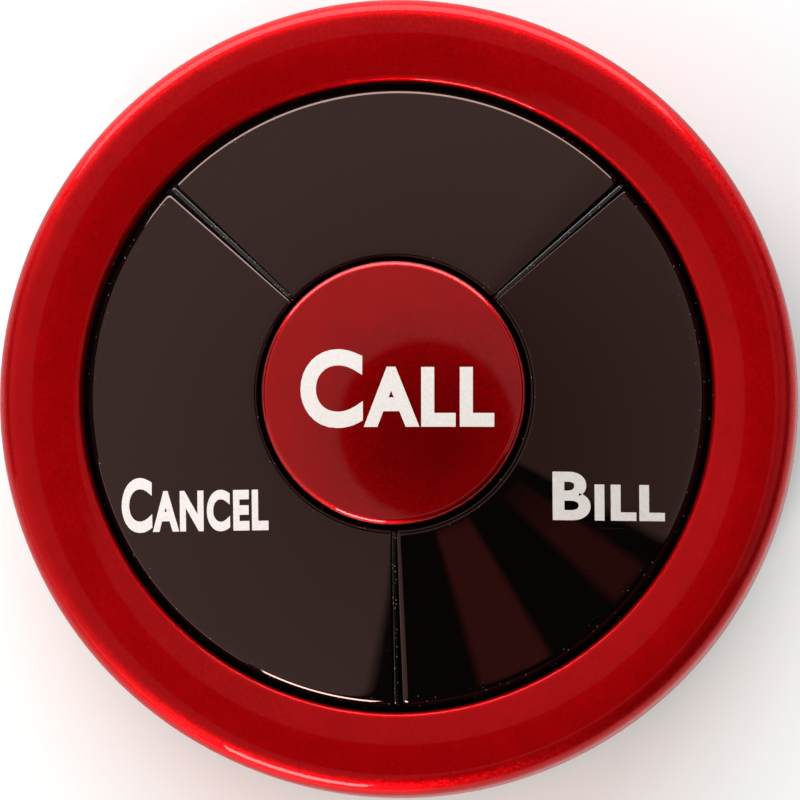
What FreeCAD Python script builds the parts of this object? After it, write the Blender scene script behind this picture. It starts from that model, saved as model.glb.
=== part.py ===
"""Round table call transmitter: a red ring housing, a round call key in the middle of
three black sectors (two of them keys), tact switches on a board, a coin cell behind a
coin-turned door, and an anti-slip ring underneath.  Millimetres, +Z up, origin at the
middle of the face that rests on the table."""

import FreeCAD, Part
import math
import os
import Sketcher

ORIGIN = FreeCAD.Vector(0, 0, 0)
UP = FreeCAD.Vector(0, 0, 1)
AT_ORIGIN = -1
START, END, CENTRE = 1, 2, 3
SHEET = "Sizes"
PARTS_FOLDER = "parts"
ON_FACE = 0.01

doc = FreeCAD.newDocument("CallButton")
sheet = doc.addObject("Spreadsheet::Sheet", SHEET)


# ---------------------------------------------------------------- sizes with expressions

class Size:
    """A number together with the spreadsheet expression that gives it."""

    def __init__(self, value, text):
        self.value = value
        self.text = text

    def __add__(self, other):
        other = as_size(other)
        return Size(self.value + other.value, f"({self.text} + {other.text})")

    def __radd__(self, other):
        return as_size(other) + self

    def __sub__(self, other):
        other = as_size(other)
        return Size(self.value - other.value, f"({self.text} - {other.text})")

    def __rsub__(self, other):
        return as_size(other) - self

    def __mul__(self, other):
        other = as_size(other)
        return Size(self.value * other.value, f"({self.text} * {other.text})")

    def __rmul__(self, other):
        return as_size(other) * self

    def __truediv__(self, other):
        other = as_size(other)
        return Size(self.value / other.value, f"({self.text} / {other.text})")

    def __neg__(self):
        return Size(-self.value, f"(0 - {self.text})")


def as_size(thing):
    """A Size as it is, or a plain number as a Size."""
    if isinstance(thing, Size):
        return thing
    return Size(float(thing), f"({float(thing):.6f})")


def cos(angle):
    return Size(math.cos(math.radians(angle.value)), f"cos({angle.text})")


def sin(angle):
    return Size(math.sin(math.radians(angle.value)), f"sin({angle.text})")


def root(number):
    return Size(math.sqrt(number.value), f"sqrt({number.text})")


def size(name, value, meaning):
    """Write one driving size into the sheet and hand it back."""
    size.row += 1
    sheet.set(f"A{size.row}", meaning)
    sheet.set(f"B{size.row}", str(value))
    sheet.setAlias(f"B{size.row}", name)
    return Size(float(value), f"{SHEET}.{name}")


size.row = 0


# ---------------------------------------------------------------- drawing helpers

def new_body(label):
    """An empty body that may end as several separate solids."""
    body = doc.addObject("PartDesign::Body", label)
    body.Label = label
    body.AllowCompound = True
    return body


def plane_of(body, role):
    """One of the body's own origin planes or axes."""
    return next(item for item in body.Origin.OriginFeatures if item.Role == role)


def new_sketch(body, name, role="XY_Plane", height=0.0, turn=0.0):
    """A sketch on an origin plane, lifted along the plane's normal and turned in it."""
    sketch = body.newObject("Sketcher::SketchObject", name)
    sketch.AttachmentSupport = [(plane_of(body, role), "")]
    sketch.MapMode = "FlatFace"
    height = as_size(height)
    turn = as_size(turn)
    sketch.AttachmentOffset = FreeCAD.Placement(
        FreeCAD.Vector(0, 0, height.value), FreeCAD.Rotation(UP, turn.value))
    sketch.setExpression("AttachmentOffset.Base.z", height.text)
    sketch.setExpression("AttachmentOffset.Rotation.Angle", turn.text)
    return sketch


def add_bound(sketch, constraints):
    """Add (kind, geometry..., size) constraints and bind each size to the sheet."""
    first = sketch.ConstraintCount
    sketch.addConstraint([
        Sketcher.Constraint(*entry[:-1], entry[-1].value) if isinstance(entry[-1], Size)
        else Sketcher.Constraint(*entry)
        for entry in constraints])
    for index, entry in enumerate(constraints, first):
        if isinstance(entry[-1], Size) and SHEET in entry[-1].text:
            sketch.setExpression(f"Constraints[{index}]", entry[-1].text)


def pin(geometry, end, x, y):
    """Constraints that hold one point of a sketch at (x, y)."""
    return [("DistanceX", AT_ORIGIN, START, geometry, end, as_size(x)),
            ("DistanceY", AT_ORIGIN, START, geometry, end, as_size(y))]


def rounding(before, corner, after, radius):
    """Tangent points, arc and turning sense of a rounded corner."""
    arrive = (corner - before).normalize()
    leave = (after - corner).normalize()
    turn = arrive.getAngle(leave)
    reach = radius * math.tan(turn / 2)
    start = corner - arrive * reach
    end = corner + leave * reach
    left = arrive.cross(leave).z > 0
    side = FreeCAD.Vector(-arrive.y, arrive.x, 0) * (radius if left else -radius)
    centre = start + side
    angles = [math.atan2((point - centre).y, (point - centre).x) for point in (start, end)]
    if not left:
        angles.reverse()
    circle = Part.Circle(centre, UP, radius)
    return start, end, Part.ArcOfCircle(circle, angles[0], angles[1]), left


def outline(sketch, corners):
    """A closed outline of straight runs; a corner (x, y, radius) is rounded."""
    corners = [tuple(as_size(item) for item in corner) for corner in corners]
    count = len(corners)
    points = [FreeCAD.Vector(corner[0].value, corner[1].value, 0) for corner in corners]
    first = sketch.GeometryCount
    starts = list(points)
    ends = list(points)
    arcs = {}
    for number, corner in enumerate(corners):
        if len(corner) == 3:
            arcs[number] = rounding(points[number - 1], points[number],
                                    points[(number + 1) % count], corner[2].value)
            ends[number], starts[number] = arcs[number][0], arcs[number][1]
    sketch.addGeometry([Part.LineSegment(starts[n], ends[(n + 1) % count])
                        for n in range(count)], False)
    constraints = []
    for number, corner in enumerate(corners):
        arriving = first + (number - 1) % count
        leaving = first + number
        if number not in arcs:
            constraints.append(("Coincident", arriving, END, leaving, START))
            constraints += pin(leaving, START, corner[0], corner[1])
            continue
        arc = sketch.addGeometry(arcs[number][2], False)
        meets, parts_from = (START, END) if arcs[number][3] else (END, START)
        tip = sketch.addGeometry(Part.Point(points[number]), True)
        constraints += [("Tangent", arriving, END, arc, meets),
                        ("Tangent", arc, parts_from, leaving, START),
                        ("PointOnObject", tip, START, arriving),
                        ("PointOnObject", tip, START, leaving),
                        ("Radius", arc, corner[2])]
        constraints += pin(tip, START, corner[0], corner[1])
    add_bound(sketch, constraints)
    return sketch


def circle(sketch, x, y, radius):
    """A circle whose middle and radius follow the sheet."""
    x, y, radius = as_size(x), as_size(y), as_size(radius)
    middle = FreeCAD.Vector(x.value, y.value, 0)
    drawn = sketch.addGeometry(Part.Circle(middle, UP, radius.value), False)
    add_bound(sketch, pin(drawn, CENTRE, x, y) + [("Radius", drawn, radius)])
    return sketch


def rectangle(sketch, x, y, width, depth, corner=None):
    """A rectangle about (x, y), with rounded corners where a radius is given."""
    x, y, width, depth = as_size(x), as_size(y), as_size(width), as_size(depth)
    half_width, half_depth = width / 2, depth / 2
    rounded = () if corner is None else (corner,)
    return outline(sketch, [(x - half_width, y - half_depth) + rounded,
                            (x + half_width, y - half_depth) + rounded,
                            (x + half_width, y + half_depth) + rounded,
                            (x - half_width, y + half_depth) + rounded])


# ---------------------------------------------------------------- feature helpers

def pad(body, sketch, length, both_ways=False, downwards=False):
    feature = body.newObject("PartDesign::Pad", "Pad")
    feature.Profile = sketch
    feature.setExpression("Length", as_size(length).text)
    feature.Midplane = both_ways
    feature.Reversed = downwards
    return feature


def pocket(body, sketch, length=None, upwards=False):
    """Cut a sketch down into the body, or upwards; with no length it goes right through."""
    feature = body.newObject("PartDesign::Pocket", "Pocket")
    feature.Profile = sketch
    if length is None:
        feature.Type = "ThroughAll"
    else:
        feature.setExpression("Length", as_size(length).text)
    feature.Reversed = upwards
    return feature


def revolve(body, sketch, angle=None):
    """Turn a sketch round the Z axis: all the way, or by an angle about its own plane."""
    feature = body.newObject("PartDesign::Revolution", "Revolution")
    feature.Profile = sketch
    feature.ReferenceAxis = (sketch, ["V_Axis"])
    feature.Angle = 360.0
    if angle is not None:
        feature.Midplane = True
        feature.setExpression("Angle", angle.text)
    return feature


def groove(body, sketch):
    feature = body.newObject("PartDesign::Groove", "Groove")
    feature.Profile = sketch
    feature.ReferenceAxis = (sketch, ["V_Axis"])
    feature.Angle = 360.0
    return feature


def spread(body, features, count):
    """Repeat features evenly round the Z axis."""
    feature = body.newObject("PartDesign::PolarPattern", "PolarPattern")
    feature.Originals = features
    feature.Axis = (plane_of(body, "Z_Axis"), [""])
    feature.Angle = 360.0
    feature.Occurrences = count
    body.Tip = feature
    return feature


def ring_body(label, corners):
    """A body turned from one closed outline in the XZ plane."""
    body = new_body(label)
    revolve(body, outline(new_sketch(body, "Section", "XZ_Plane"), corners))
    return body


def upright_sketch(body, name, turn):
    """A sketch in the upright plane through the Z axis at that angle from +X."""
    sketch = body.newObject("Sketcher::SketchObject", name)
    upright = FreeCAD.Rotation(FreeCAD.Vector(1, 0, 0), 90)
    sketch.Placement = FreeCAD.Placement(
        ORIGIN, FreeCAD.Rotation(UP, as_size(turn).value) * upright)
    return sketch


def soften(body, kind, feature, reach, test):
    """Fillet or chamfer the edges of a feature whose middle point passes a test."""
    doc.recompute()
    names = []
    for number, edge in enumerate(feature.Shape.Edges, 1):
        low, high = edge.ParameterRange
        if test(edge.valueAt((low + high) / 2)):
            names.append(f"Edge{number}")
    dressed = body.newObject(f"PartDesign::{kind}", kind)
    dressed.Base = (feature, names)
    dressed.setExpression("Radius" if kind == "Fillet" else "Size", reach.text)
    return dressed


def place(part, x=0.0, y=0.0, z=0.0, turn=0.0):
    """Put a sub-part at a place given by sizes, turned about the vertical."""
    part.setExpression("Placement.Base.x", as_size(x).text)
    part.setExpression("Placement.Base.y", as_size(y).text)
    part.setExpression("Placement.Base.z", as_size(z).text)
    part.Placement = FreeCAD.Placement(ORIGIN, FreeCAD.Rotation(UP, as_size(turn).value))
    part.setExpression("Placement.Rotation.Angle", as_size(turn).text)
    return part


def around(radius, angle):
    """The (x, y) of a point on a circle about the Z axis."""
    return radius * cos(angle), radius * sin(angle)


sub_parts = []


def keep(part):
    """Add a finished sub-part to those that are written out."""
    sub_parts.append(part)
    return part


# ---------------------------------------------------------------- sizes: outside

case_radius = size("case_diameter", 60, "outside of the red ring") / 2
side_draft = size("side_draft", 0.6, "how much the side leans in down to the rim")
side_turn_height = size("side_turn_height", 3.4, "leaning part of the side, above the rim")
side_turn_round = size("side_turn_round", 6, "where the side turns upright")
shoulder_drop = size("shoulder_drop", 0.24, "shoulder of the ring below its crown")
shoulder_round = size("shoulder_round", 1.6, "rounding of the shoulder")
ring_width = size("ring_width", 6.28, "ring from its outside to its lip")
crown_inset = size("crown_inset", 3.18, "crown of the ring, out from the lip")
crown_rise = size("crown_rise", 0.45, "crown of the ring above the lip")
crown_round = size("crown_round", 13, "rounding over the crown")
lip_round = size("lip_round", 1.0, "rounding of the lip")
lip_thickness = size("lip_thickness", 1.3, "lip that holds the key flanges down")
case_wall = size("case_wall", 1.8, "side wall of the housing")
parting_gap = size("parting_gap", 0.12, "seam between the housing and the base")

# ---------------------------------------------------------------- sizes: keys

key_radius = size("key_diameter", 19.8, "call key") / 2
key_edge_round = size("key_edge_round", 0.55, "rounding of the call key's edge")
key_dome = size("key_dome", 0.65, "rise of the call key from its edge to its middle")
key_dome_round = size("key_dome_round", 68, "radius of the call key's dome")
key_proud = size("key_proud", 0.65, "edge of the call key above the sectors")
key_gap = size("key_gap", 0.26, "gap between the call key and the sectors")
key_wall = size("key_wall", 1.2, "wall of the key mouldings")
sector_gap = size("sector_gap", 0.48, "gap between the sectors and the ring's lip")
divider_width = size("divider_width", 0.36, "rib of the chassis between two sectors")
divider_gap = size("divider_gap", 0.1, "sector to that rib")
divider_sink = size("divider_sink", 0.08, "top of that rib below the sectors")
divider_round = size("divider_round", 0.1, "rounding of that rib's top edges")
sector_sink = size("sector_sink", 0.15, "outer edge of the sectors below the lip")
sector_rise = size("sector_rise", 4.35, "rise of the sectors towards the call key")
sector_swell = size("sector_swell", 0.18, "swell of the sectors half way up")
sector_dome_round = size("sector_dome_round", 190, "rounding of that swell")
sector_inner_round = size("sector_inner_round", 0.5, "rounding beside the call key")
sector_outer_round = size("sector_outer_round", 0.5, "rounding beside the ring")
sector_side_round = size("sector_side_round", 0.45, "rounding along the grooves")
flange_reach = size("flange_reach", 1.65, "sector flange under the lip")
flange_thickness = size("flange_thickness", 0.65, "sector flange")
flange_clearance = size("flange_clearance", 0.1, "flange to the underside of the lip")
flange_room = size("flange_room", 0.4, "flange to the wall of the housing")
flange_trim = size("flange_trim", 3, "flange shorter than its sector, as an angle")
key_rest_gap = size("key_rest_gap", 0.45, "bottom of a resting key to the chassis")
first_groove_angle = size("first_groove_angle", 43, "groove between the blank sector and bill")
second_groove_angle = size("second_groove_angle", 137, "groove between blank and cancel")
third_groove_angle = size("third_groove_angle", 270, "groove between cancel and bill")
stem_radius = size("stem_diameter", 3.0, "stem that presses a switch") / 2
web_width = size("web_width", 0.8, "webs inside the call key")
web_depth = size("web_depth", 1.4, "webs inside the call key")
web_angle = size("web_angle", 45, "direction of the first web from the first hook")
hook_width = size("hook_width", 2.4, "snap hooks of the keys")
hook_thickness = size("hook_thickness", 0.8, "snap hooks of the keys")
hook_barb = size("hook_barb", 0.45, "barb of a snap hook")
hook_barb_height = size("hook_barb_height", 0.6, "barb of a snap hook")
hook_nose = size("hook_nose", 0.15, "blunt nose of a snap hook")
hook_inset = size("hook_inset", 0.12, "hook leg behind the face of its wall")
hook_room = size("hook_room", 0.12, "slot round a hook")
call_hook_angle = size("call_hook_angle", 90, "direction of the first hook of the call key")
side_hook_angle = size("side_hook_angle", 38, "hooks of a side key from its middle")
blank_hook_angle = size("blank_hook_angle", 26, "hooks of the blank sector from its middle")

# ---------------------------------------------------------------- sizes: base and door

foot_proud = size("foot_proud", 0.6, "anti-slip ring below the base")
foot_width = size("foot_width", 3.0, "anti-slip ring")
foot_margin = size("foot_margin", 1.25, "anti-slip ring to the heads of the case screws")
foot_depth = size("foot_depth", 0.6, "groove of the anti-slip ring")
foot_bevel = size("foot_bevel", 0.2, "edges of the anti-slip ring")
base_floor = size("base_floor", 1.5, "floor of the base")
base_edge = size("base_edge", 1.3, "height of the base's edge that shows outside")
base_bevel = size("base_bevel", 0.45, "lower edge of the base")
spigot_thickness = size("spigot_thickness", 1.0, "wall of the base inside the housing")
spigot_height = size("spigot_height", 2.4, "that wall above the floor")
door_radius = size("door_diameter", 25.0, "battery door") / 2
door_gap = size("door_gap", 0.2, "gap round the battery door")
door_bevel = size("door_bevel", 0.25, "lower edge of the door")
door_collar = size("door_collar", 1.1, "collar of the door that carries the lugs")
lug_reach = size("lug_reach", 1.7, "lugs of the door past its edge")
lug_thickness = size("lug_thickness", 0.8, "lugs of the door")
lug_angle = size("lug_angle", 22, "width of a lug round the axis")
door_turn = size("door_turn", 30, "turn that frees the door")
mouth_slack = size("mouth_slack", 4, "extra width of a mouth over its lug")
stop_angle = size("stop_angle", 7, "width of a lug stop")
stop_slack = size("stop_slack", 0.6, "angle between a stop and its lug")
well_gap = size("well_gap", 0.4, "between the lugs and the wall of the battery well")
well_thickness = size("well_thickness", 1.0, "wall of the battery well")
coin_slot_length = size("coin_slot_length", 13, "coin slot")
coin_slot_width = size("coin_slot_width", 1.8, "coin slot")
coin_slot_depth = size("coin_slot_depth", 0.9, "coin slot")
cell_rib_length = size("cell_rib_length", 7.0, "ribs of the door under the cell")
cell_rib_width = size("cell_rib_width", 0.8, "ribs of the door under the cell")

# ---------------------------------------------------------------- sizes: battery

cell_radius = size("cell_diameter", 20, "coin cell") / 2
cell_height = size("cell_height", 3.2, "coin cell")
cell_lift = size("cell_lift", 0.4, "height of the ribs under the cell")
cell_cap_radius = size("cell_cap_diameter", 16.8, "negative cap of the cell") / 2
cell_cap_depth = size("cell_cap_depth", 0.9, "cap in the can")
cell_cap_proud = size("cell_cap_proud", 0.15, "cap above the rim of the can")
cell_seal = size("cell_seal", 0.5, "seal between the cap and the can")
cell_bevel = size("cell_bevel", 0.4, "edges of the can")
holder_gap = size("holder_gap", 0.25, "cell in its holder")
holder_wall = size("holder_wall", 1.3, "ring of the battery holder")
holder_pin_radius = size("holder_pin_diameter", 1.2, "pins of the holder in the board") / 2
contact_height = size("contact_height", 0.4, "sprung contact between the cell and the board")
contact_width = size("contact_width", 4.0, "battery contacts")
contact_thickness = size("contact_thickness", 0.2, "battery contacts")
contact_foot = size("contact_foot", 3.2, "soldered foot of the positive contact")
contact_bend = size("contact_bend", 0.15, "outside of the bend of the positive contact")
contact_start = size("contact_start", 0.8, "positive contact above the bottom of the cell")
negative_length = size("negative_length", 13, "negative contact from end to end")
negative_flat = size("negative_flat", 4.4, "flat of the negative contact on the cell")
negative_width = size("negative_width", 3.0, "negative contact")
negative_thickness = size("negative_thickness", 0.15, "negative contact")

# ---------------------------------------------------------------- sizes: chassis and board

board_thickness = size("board_thickness", 1.0, "circuit board")
board_margin = size("board_margin", 1.2, "edge of the board inside the case screws")
chassis_gap = size("chassis_gap", 1.1, "between the board and the chassis")
chassis_thickness = size("chassis_thickness", 0.8, "chassis plate")
chassis_rim_gap = size("chassis_rim_gap", 0.2, "chassis to the housing's wall")
rib_margin = size("rib_margin", 1.0, "stiffening rib to the bosses of the case screws")
rib_width = size("rib_width", 0.8, "stiffening rib")
rib_depth = size("rib_depth", 0.6, "stiffening rib")
post_radius = size("post_diameter", 3.2, "chassis posts on the board") / 2
post_margin = size("post_margin", 1.9, "posts inside the stiffening rib")
switch_room = size("switch_room", 0.4, "opening of the chassis round a switch")
side_switch_gap = size("side_switch_gap", 1.14, "side switch to the inner wall of its key")

# ---------------------------------------------------------------- sizes: fastenings

screw_inset = size("screw_inset", 1.8, "case screws inside the housing's wall")
screw_angle = size("screw_angle", 0, "direction of the first case screw")
screw_boss_radius = size("screw_boss_diameter", 4.0, "bosses of the case screws") / 2
screw_shank_radius = size("screw_shank_diameter", 1.7, "shank of a case screw") / 2
screw_head_radius = size("screw_head_diameter", 3.3, "head of a case screw") / 2
screw_head_height = size("screw_head_height", 1.1, "head of a case screw")
screw_reach = size("screw_reach", 5.4, "case screw in its boss")
screw_web = size("screw_web", 1.2, "plastic under the head of a case screw")
screw_sink = size("screw_sink", 0.3, "head of a case screw below the base's face")
screw_tip = size("screw_tip", 0.4, "tapered tip of a screw")
head_crown = size("head_crown", 0.5, "rounded part of a screw's head")
cross_width = size("cross_width", 0.5, "arms of a screw's cross recess")
cross_length = size("cross_length", 1.7, "cross recess from end to end")
cross_depth = size("cross_depth", 0.5, "cross recess")
board_screw_angle = size("board_screw_angle", 60, "direction of the first board screw")
board_screw_shank = size("board_screw_shank", 1.4, "shank of a board screw") / 2
board_screw_head = size("board_screw_head", 2.6, "head of a board screw") / 2
board_screw_head_height = size("board_screw_head_height", 0.8, "head of a board screw")
stake_inset = size("stake_inset", 1.5, "heat stakes inside the housing's wall")
stake_offset = size("stake_offset", 30, "direction of the first stake from the first screw")
stake_radius = size("stake_diameter", 1.4, "heat stake") / 2
stake_head_radius = size("stake_head_diameter", 2.3, "melted head of a stake") / 2
stake_head_height = size("stake_head_height", 0.5, "melted head of a stake")
pin_clearance = size("pin_clearance", 0.08, "pins and shanks in their holes")
close_gap = size("close_gap", 0.1, "pieces laid or screwed together")
fine_gap = size("fine_gap", 0.05, "pieces that just clear one another")

# ---------------------------------------------------------------- sizes: switches

switch_width = size("switch_width", 6.0, "tact switch")
switch_height = size("switch_height", 4.3, "tact switch with its plunger")
switch_base_height = size("switch_base_height", 2.9, "moulded base of a switch")
switch_well_radius = size("switch_well_diameter", 4.6, "well of a switch") / 2
switch_well_depth = size("switch_well_depth", 1.25, "well of a switch")
switch_cover_thickness = size("switch_cover_thickness", 0.3, "steel cover of a switch")
cover_tab_width = size("cover_tab_width", 2.0, "tabs down the sides of the cover")
plunger_radius = size("plunger_diameter", 3.3, "plunger of a switch") / 2
plunger_flange = size("plunger_flange", 0.4, "step of the plunger under the cover")
plunger_flange_height = size("plunger_flange_height", 0.45, "step of the plunger")
plunger_fit = size("plunger_fit", 0.06, "plunger in the hole of the cover")
plunger_bevel = size("plunger_bevel", 0.2, "top edge of the plunger")
switch_corner = size("switch_corner", 0.5, "cut corners of a switch's base")
cover_corner = size("cover_corner", 0.6, "rounded corners of a switch's cover")
cover_tab_length = size("cover_tab_length", 1.45, "tabs down the sides of the cover")
dome_height = size("dome_height", 0.6, "snap dome of a switch")
dome_thickness = size("dome_thickness", 0.1, "snap dome of a switch")
dome_flat = size("dome_flat", 1.3, "flat middle of a dome") / 2
terminal_width = size("terminal_width", 0.7, "legs of a switch")
terminal_rise = size("terminal_rise", 1.45, "legs of a switch up its side")
terminal_thickness = size("terminal_thickness", 0.2, "legs of a switch")
terminal_reach = size("terminal_reach", 1.0, "foot of a leg past the switch")
terminal_pitch = size("terminal_pitch", 4.5, "distance between two legs")

# ---------------------------------------------------------------- sizes: parts on the board

antenna_wire = size("antenna_wire", 0.8, "wire of the loop antenna") / 2
antenna_span = size("antenna_span", 76, "arc of the loop antenna, as an angle")
antenna_angle = size("antenna_angle", 90, "direction of the middle of the antenna")
antenna_drop = size("antenna_drop", 1.8, "antenna below the board")
encoder_length = size("encoder_length", 4.9, "encoder chip")
encoder_width = size("encoder_width", 3.9, "encoder chip")
encoder_height = size("encoder_height", 1.4, "encoder chip")
encoder_bevel = size("encoder_bevel", 0.18, "edges of the encoder chip")
encoder_pitch = size("encoder_pitch", 1.27, "legs of the encoder chip")
encoder_leg_rise = size("encoder_leg_rise", 0.7, "legs of the encoder chip up its side")
encoder_leg = size("encoder_leg", 0.4, "legs of the encoder chip")
resonator_angle = size("resonator_angle", 30, "direction of the quartz resonator")
resonator_length = size("resonator_length", 11, "quartz resonator")
resonator_width = size("resonator_width", 4.5, "quartz resonator")
resonator_height = size("resonator_height", 3.0, "quartz resonator")
resonator_flange = size("resonator_flange", 0.4, "flange of the resonator")
transistor_angle = size("transistor_angle", 340, "direction of the radio transistor")
transistor_length = size("transistor_length", 2.9, "radio transistor")
transistor_width = size("transistor_width", 1.3, "radio transistor")
transistor_height = size("transistor_height", 1.0, "radio transistor")
transistor_leg_height = size("transistor_leg_height", 0.5, "legs of the radio transistor")
transistor_pitch = size("transistor_pitch", 0.95, "legs of the radio transistor")
chip_length = size("chip_length", 1.6, "chip capacitors and resistors")
chip_width = size("chip_width", 0.8, "chip capacitors and resistors")
chip_spacing = size("chip_spacing", 8, "angle between two chips")
capacitor_angle = size("capacitor_angle", 200, "direction of the first capacitors")
capacitor_height = size("capacitor_height", 0.8, "chip capacitors")
resistor_angle = size("resistor_angle", 149, "direction of the first resistors")
resistor_height = size("resistor_height", 0.5, "chip resistors")
lamp_length = size("lamp_length", 3.0, "indicator lamp")
lamp_width = size("lamp_width", 1.6, "indicator lamp")
lamp_height = size("lamp_height", 0.6, "indicator lamp without its lens")
lens_radius = size("lens_diameter", 1.4, "lens of the indicator lamp") / 2
lens_height = size("lens_height", 0.3, "lens of the indicator lamp")
lamp_distance = size("lamp_distance", 6.3, "indicator lamp from the axis")

# ---------------------------------------------------------------- counts

screw_count = 3
stake_count = 6
lug_count = 3
call_hook_count = 3
holder_pin_count = 2
encoder_legs_a_side = 4
chips_in_a_row = 3

# ---------------------------------------------------------------- heights that follow

base_bottom_z = foot_proud
floor_z = base_bottom_z + base_floor
base_edge_z = base_bottom_z + base_edge
rim_z = base_edge_z + parting_gap
collar_top_z = floor_z + close_gap + lug_thickness
cell_bottom_z = floor_z + cell_lift
cell_top_z = cell_bottom_z + cell_height
board_bottom_z = cell_top_z + contact_height
board_top_z = board_bottom_z + board_thickness
chassis_bottom_z = board_top_z + chassis_gap
chassis_top_z = chassis_bottom_z + chassis_thickness
key_bottom_z = chassis_top_z + key_rest_gap
flange_top_z = key_bottom_z + flange_thickness
lip_under_z = flange_top_z + flange_clearance
lip_z = lip_under_z + lip_thickness
crown_z = lip_z + crown_rise
shoulder_z = crown_z - shoulder_drop
sector_outer_z = lip_z - sector_sink
sector_inner_z = sector_outer_z + sector_rise
sector_middle_z = (sector_outer_z + sector_inner_z) / 2 + sector_swell
key_edge_z = sector_inner_z + key_proud
key_crown_z = key_edge_z + key_dome
plunger_top_z = board_top_z + switch_height
boss_seat_z = base_bottom_z + screw_sink + screw_head_height + screw_web

# ---------------------------------------------------------------- radii that follow

lip_radius = case_radius - ring_width
groove_width = divider_width + divider_gap * 2
crown_radius = lip_radius + crown_inset
inner_radius = case_radius - case_wall
base_radius = case_radius - side_draft
sector_inner_radius = key_radius + key_gap
sector_outer_radius = lip_radius - sector_gap
sector_middle_radius = (sector_inner_radius + sector_outer_radius) / 2
side_switch_radius = sector_inner_radius + key_wall + side_switch_gap + switch_width / 2
recess_radius = sector_outer_radius + flange_reach + flange_room
spigot_outer_radius = inner_radius - close_gap
screw_circle = inner_radius - screw_inset
stake_circle = inner_radius - stake_inset
board_radius = screw_circle - board_margin
rib_radius = screw_circle - screw_boss_radius - rib_margin
board_screw_circle = rib_radius - post_margin
foot_outer_radius = screw_circle - screw_head_radius - foot_margin
foot_inner_radius = foot_outer_radius - foot_width
lug_radius = door_radius + lug_reach
well_inner_radius = lug_radius + well_gap
well_outer_radius = well_inner_radius + well_thickness
ring_of_parts = (well_outer_radius + screw_circle - screw_boss_radius) / 2
holder_inner = cell_radius + holder_gap
holder_outer = holder_inner + holder_wall
holder_pin_circle = holder_inner + holder_wall / 2

# ---------------------------------------------------------------- directions that follow

bill_angle = (first_groove_angle + third_groove_angle - 360.0) / 2
cancel_angle = (second_groove_angle + third_groove_angle) / 2
blank_angle = (first_groove_angle + second_groove_angle) / 2
bill_span = first_groove_angle - third_groove_angle + 360.0
cancel_span = third_groove_angle - second_groove_angle
blank_span = second_groove_angle - first_groove_angle
groove_angles = (first_groove_angle, second_groove_angle, third_groove_angle)
call_hook_outer = key_radius - hook_inset
sector_hook_inner = sector_inner_radius + hook_inset
hook_slot_depth = hook_thickness + hook_barb + hook_room * 2
sector_hooks = [(bill_angle, side_hook_angle), (cancel_angle, side_hook_angle),
                (blank_angle, blank_hook_angle)]
on_axis = as_size(0.0)


# ---------------------------------------------------------------- casing

def top_housing():
    """Red ring shell: rounded shoulder, lip over the key flanges, screw bosses, stakes."""
    body = ring_body("top_housing", [
        (base_radius, rim_z),
        (case_radius, rim_z + side_turn_height, side_turn_round),
        (case_radius, shoulder_z, shoulder_round),
        (crown_radius, crown_z, crown_round),
        (lip_radius, lip_z, lip_round),
        (lip_radius, lip_under_z),
        (recess_radius, lip_under_z),
        (recess_radius, chassis_top_z),
        (inner_radius, chassis_top_z),
        (inner_radius, rim_z)])
    boss_bottom_z = boss_seat_z + close_gap
    x, y = around(screw_circle, screw_angle)
    boss = pad(body, circle(new_sketch(body, "Boss", height=boss_bottom_z), x, y,
                            screw_boss_radius), chassis_top_z - boss_bottom_z)
    hole = pocket(body, circle(new_sketch(body, "BossHole", height=boss_bottom_z), x, y,
                               screw_shank_radius + pin_clearance / 2),
                  screw_reach, upwards=True)
    spread(body, [boss, hole], screw_count)
    x, y = around(stake_circle, screw_angle + stake_offset)
    stake = pad(body, circle(new_sketch(body, "Stake", height=chassis_top_z), x, y,
                             stake_radius), chassis_thickness, downwards=True)
    head = pad(body, circle(new_sketch(body, "StakeHead", height=chassis_bottom_z), x, y,
                            stake_head_radius), stake_head_height, downwards=True)
    spread(body, [stake, head], stake_count)
    return keep(body)


def fan(sketch, inner, outer, angle):
    """An outline between two radii, symmetric about +X and `angle` wide."""
    half_cos, half_sin = cos(angle / 2), sin(angle / 2)
    return outline(sketch, [(inner * half_cos, -(inner * half_sin)),
                            (outer * half_cos, -(outer * half_sin)),
                            (outer, 0.0),
                            (outer * half_cos, outer * half_sin),
                            (inner * half_cos, inner * half_sin)])


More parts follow.
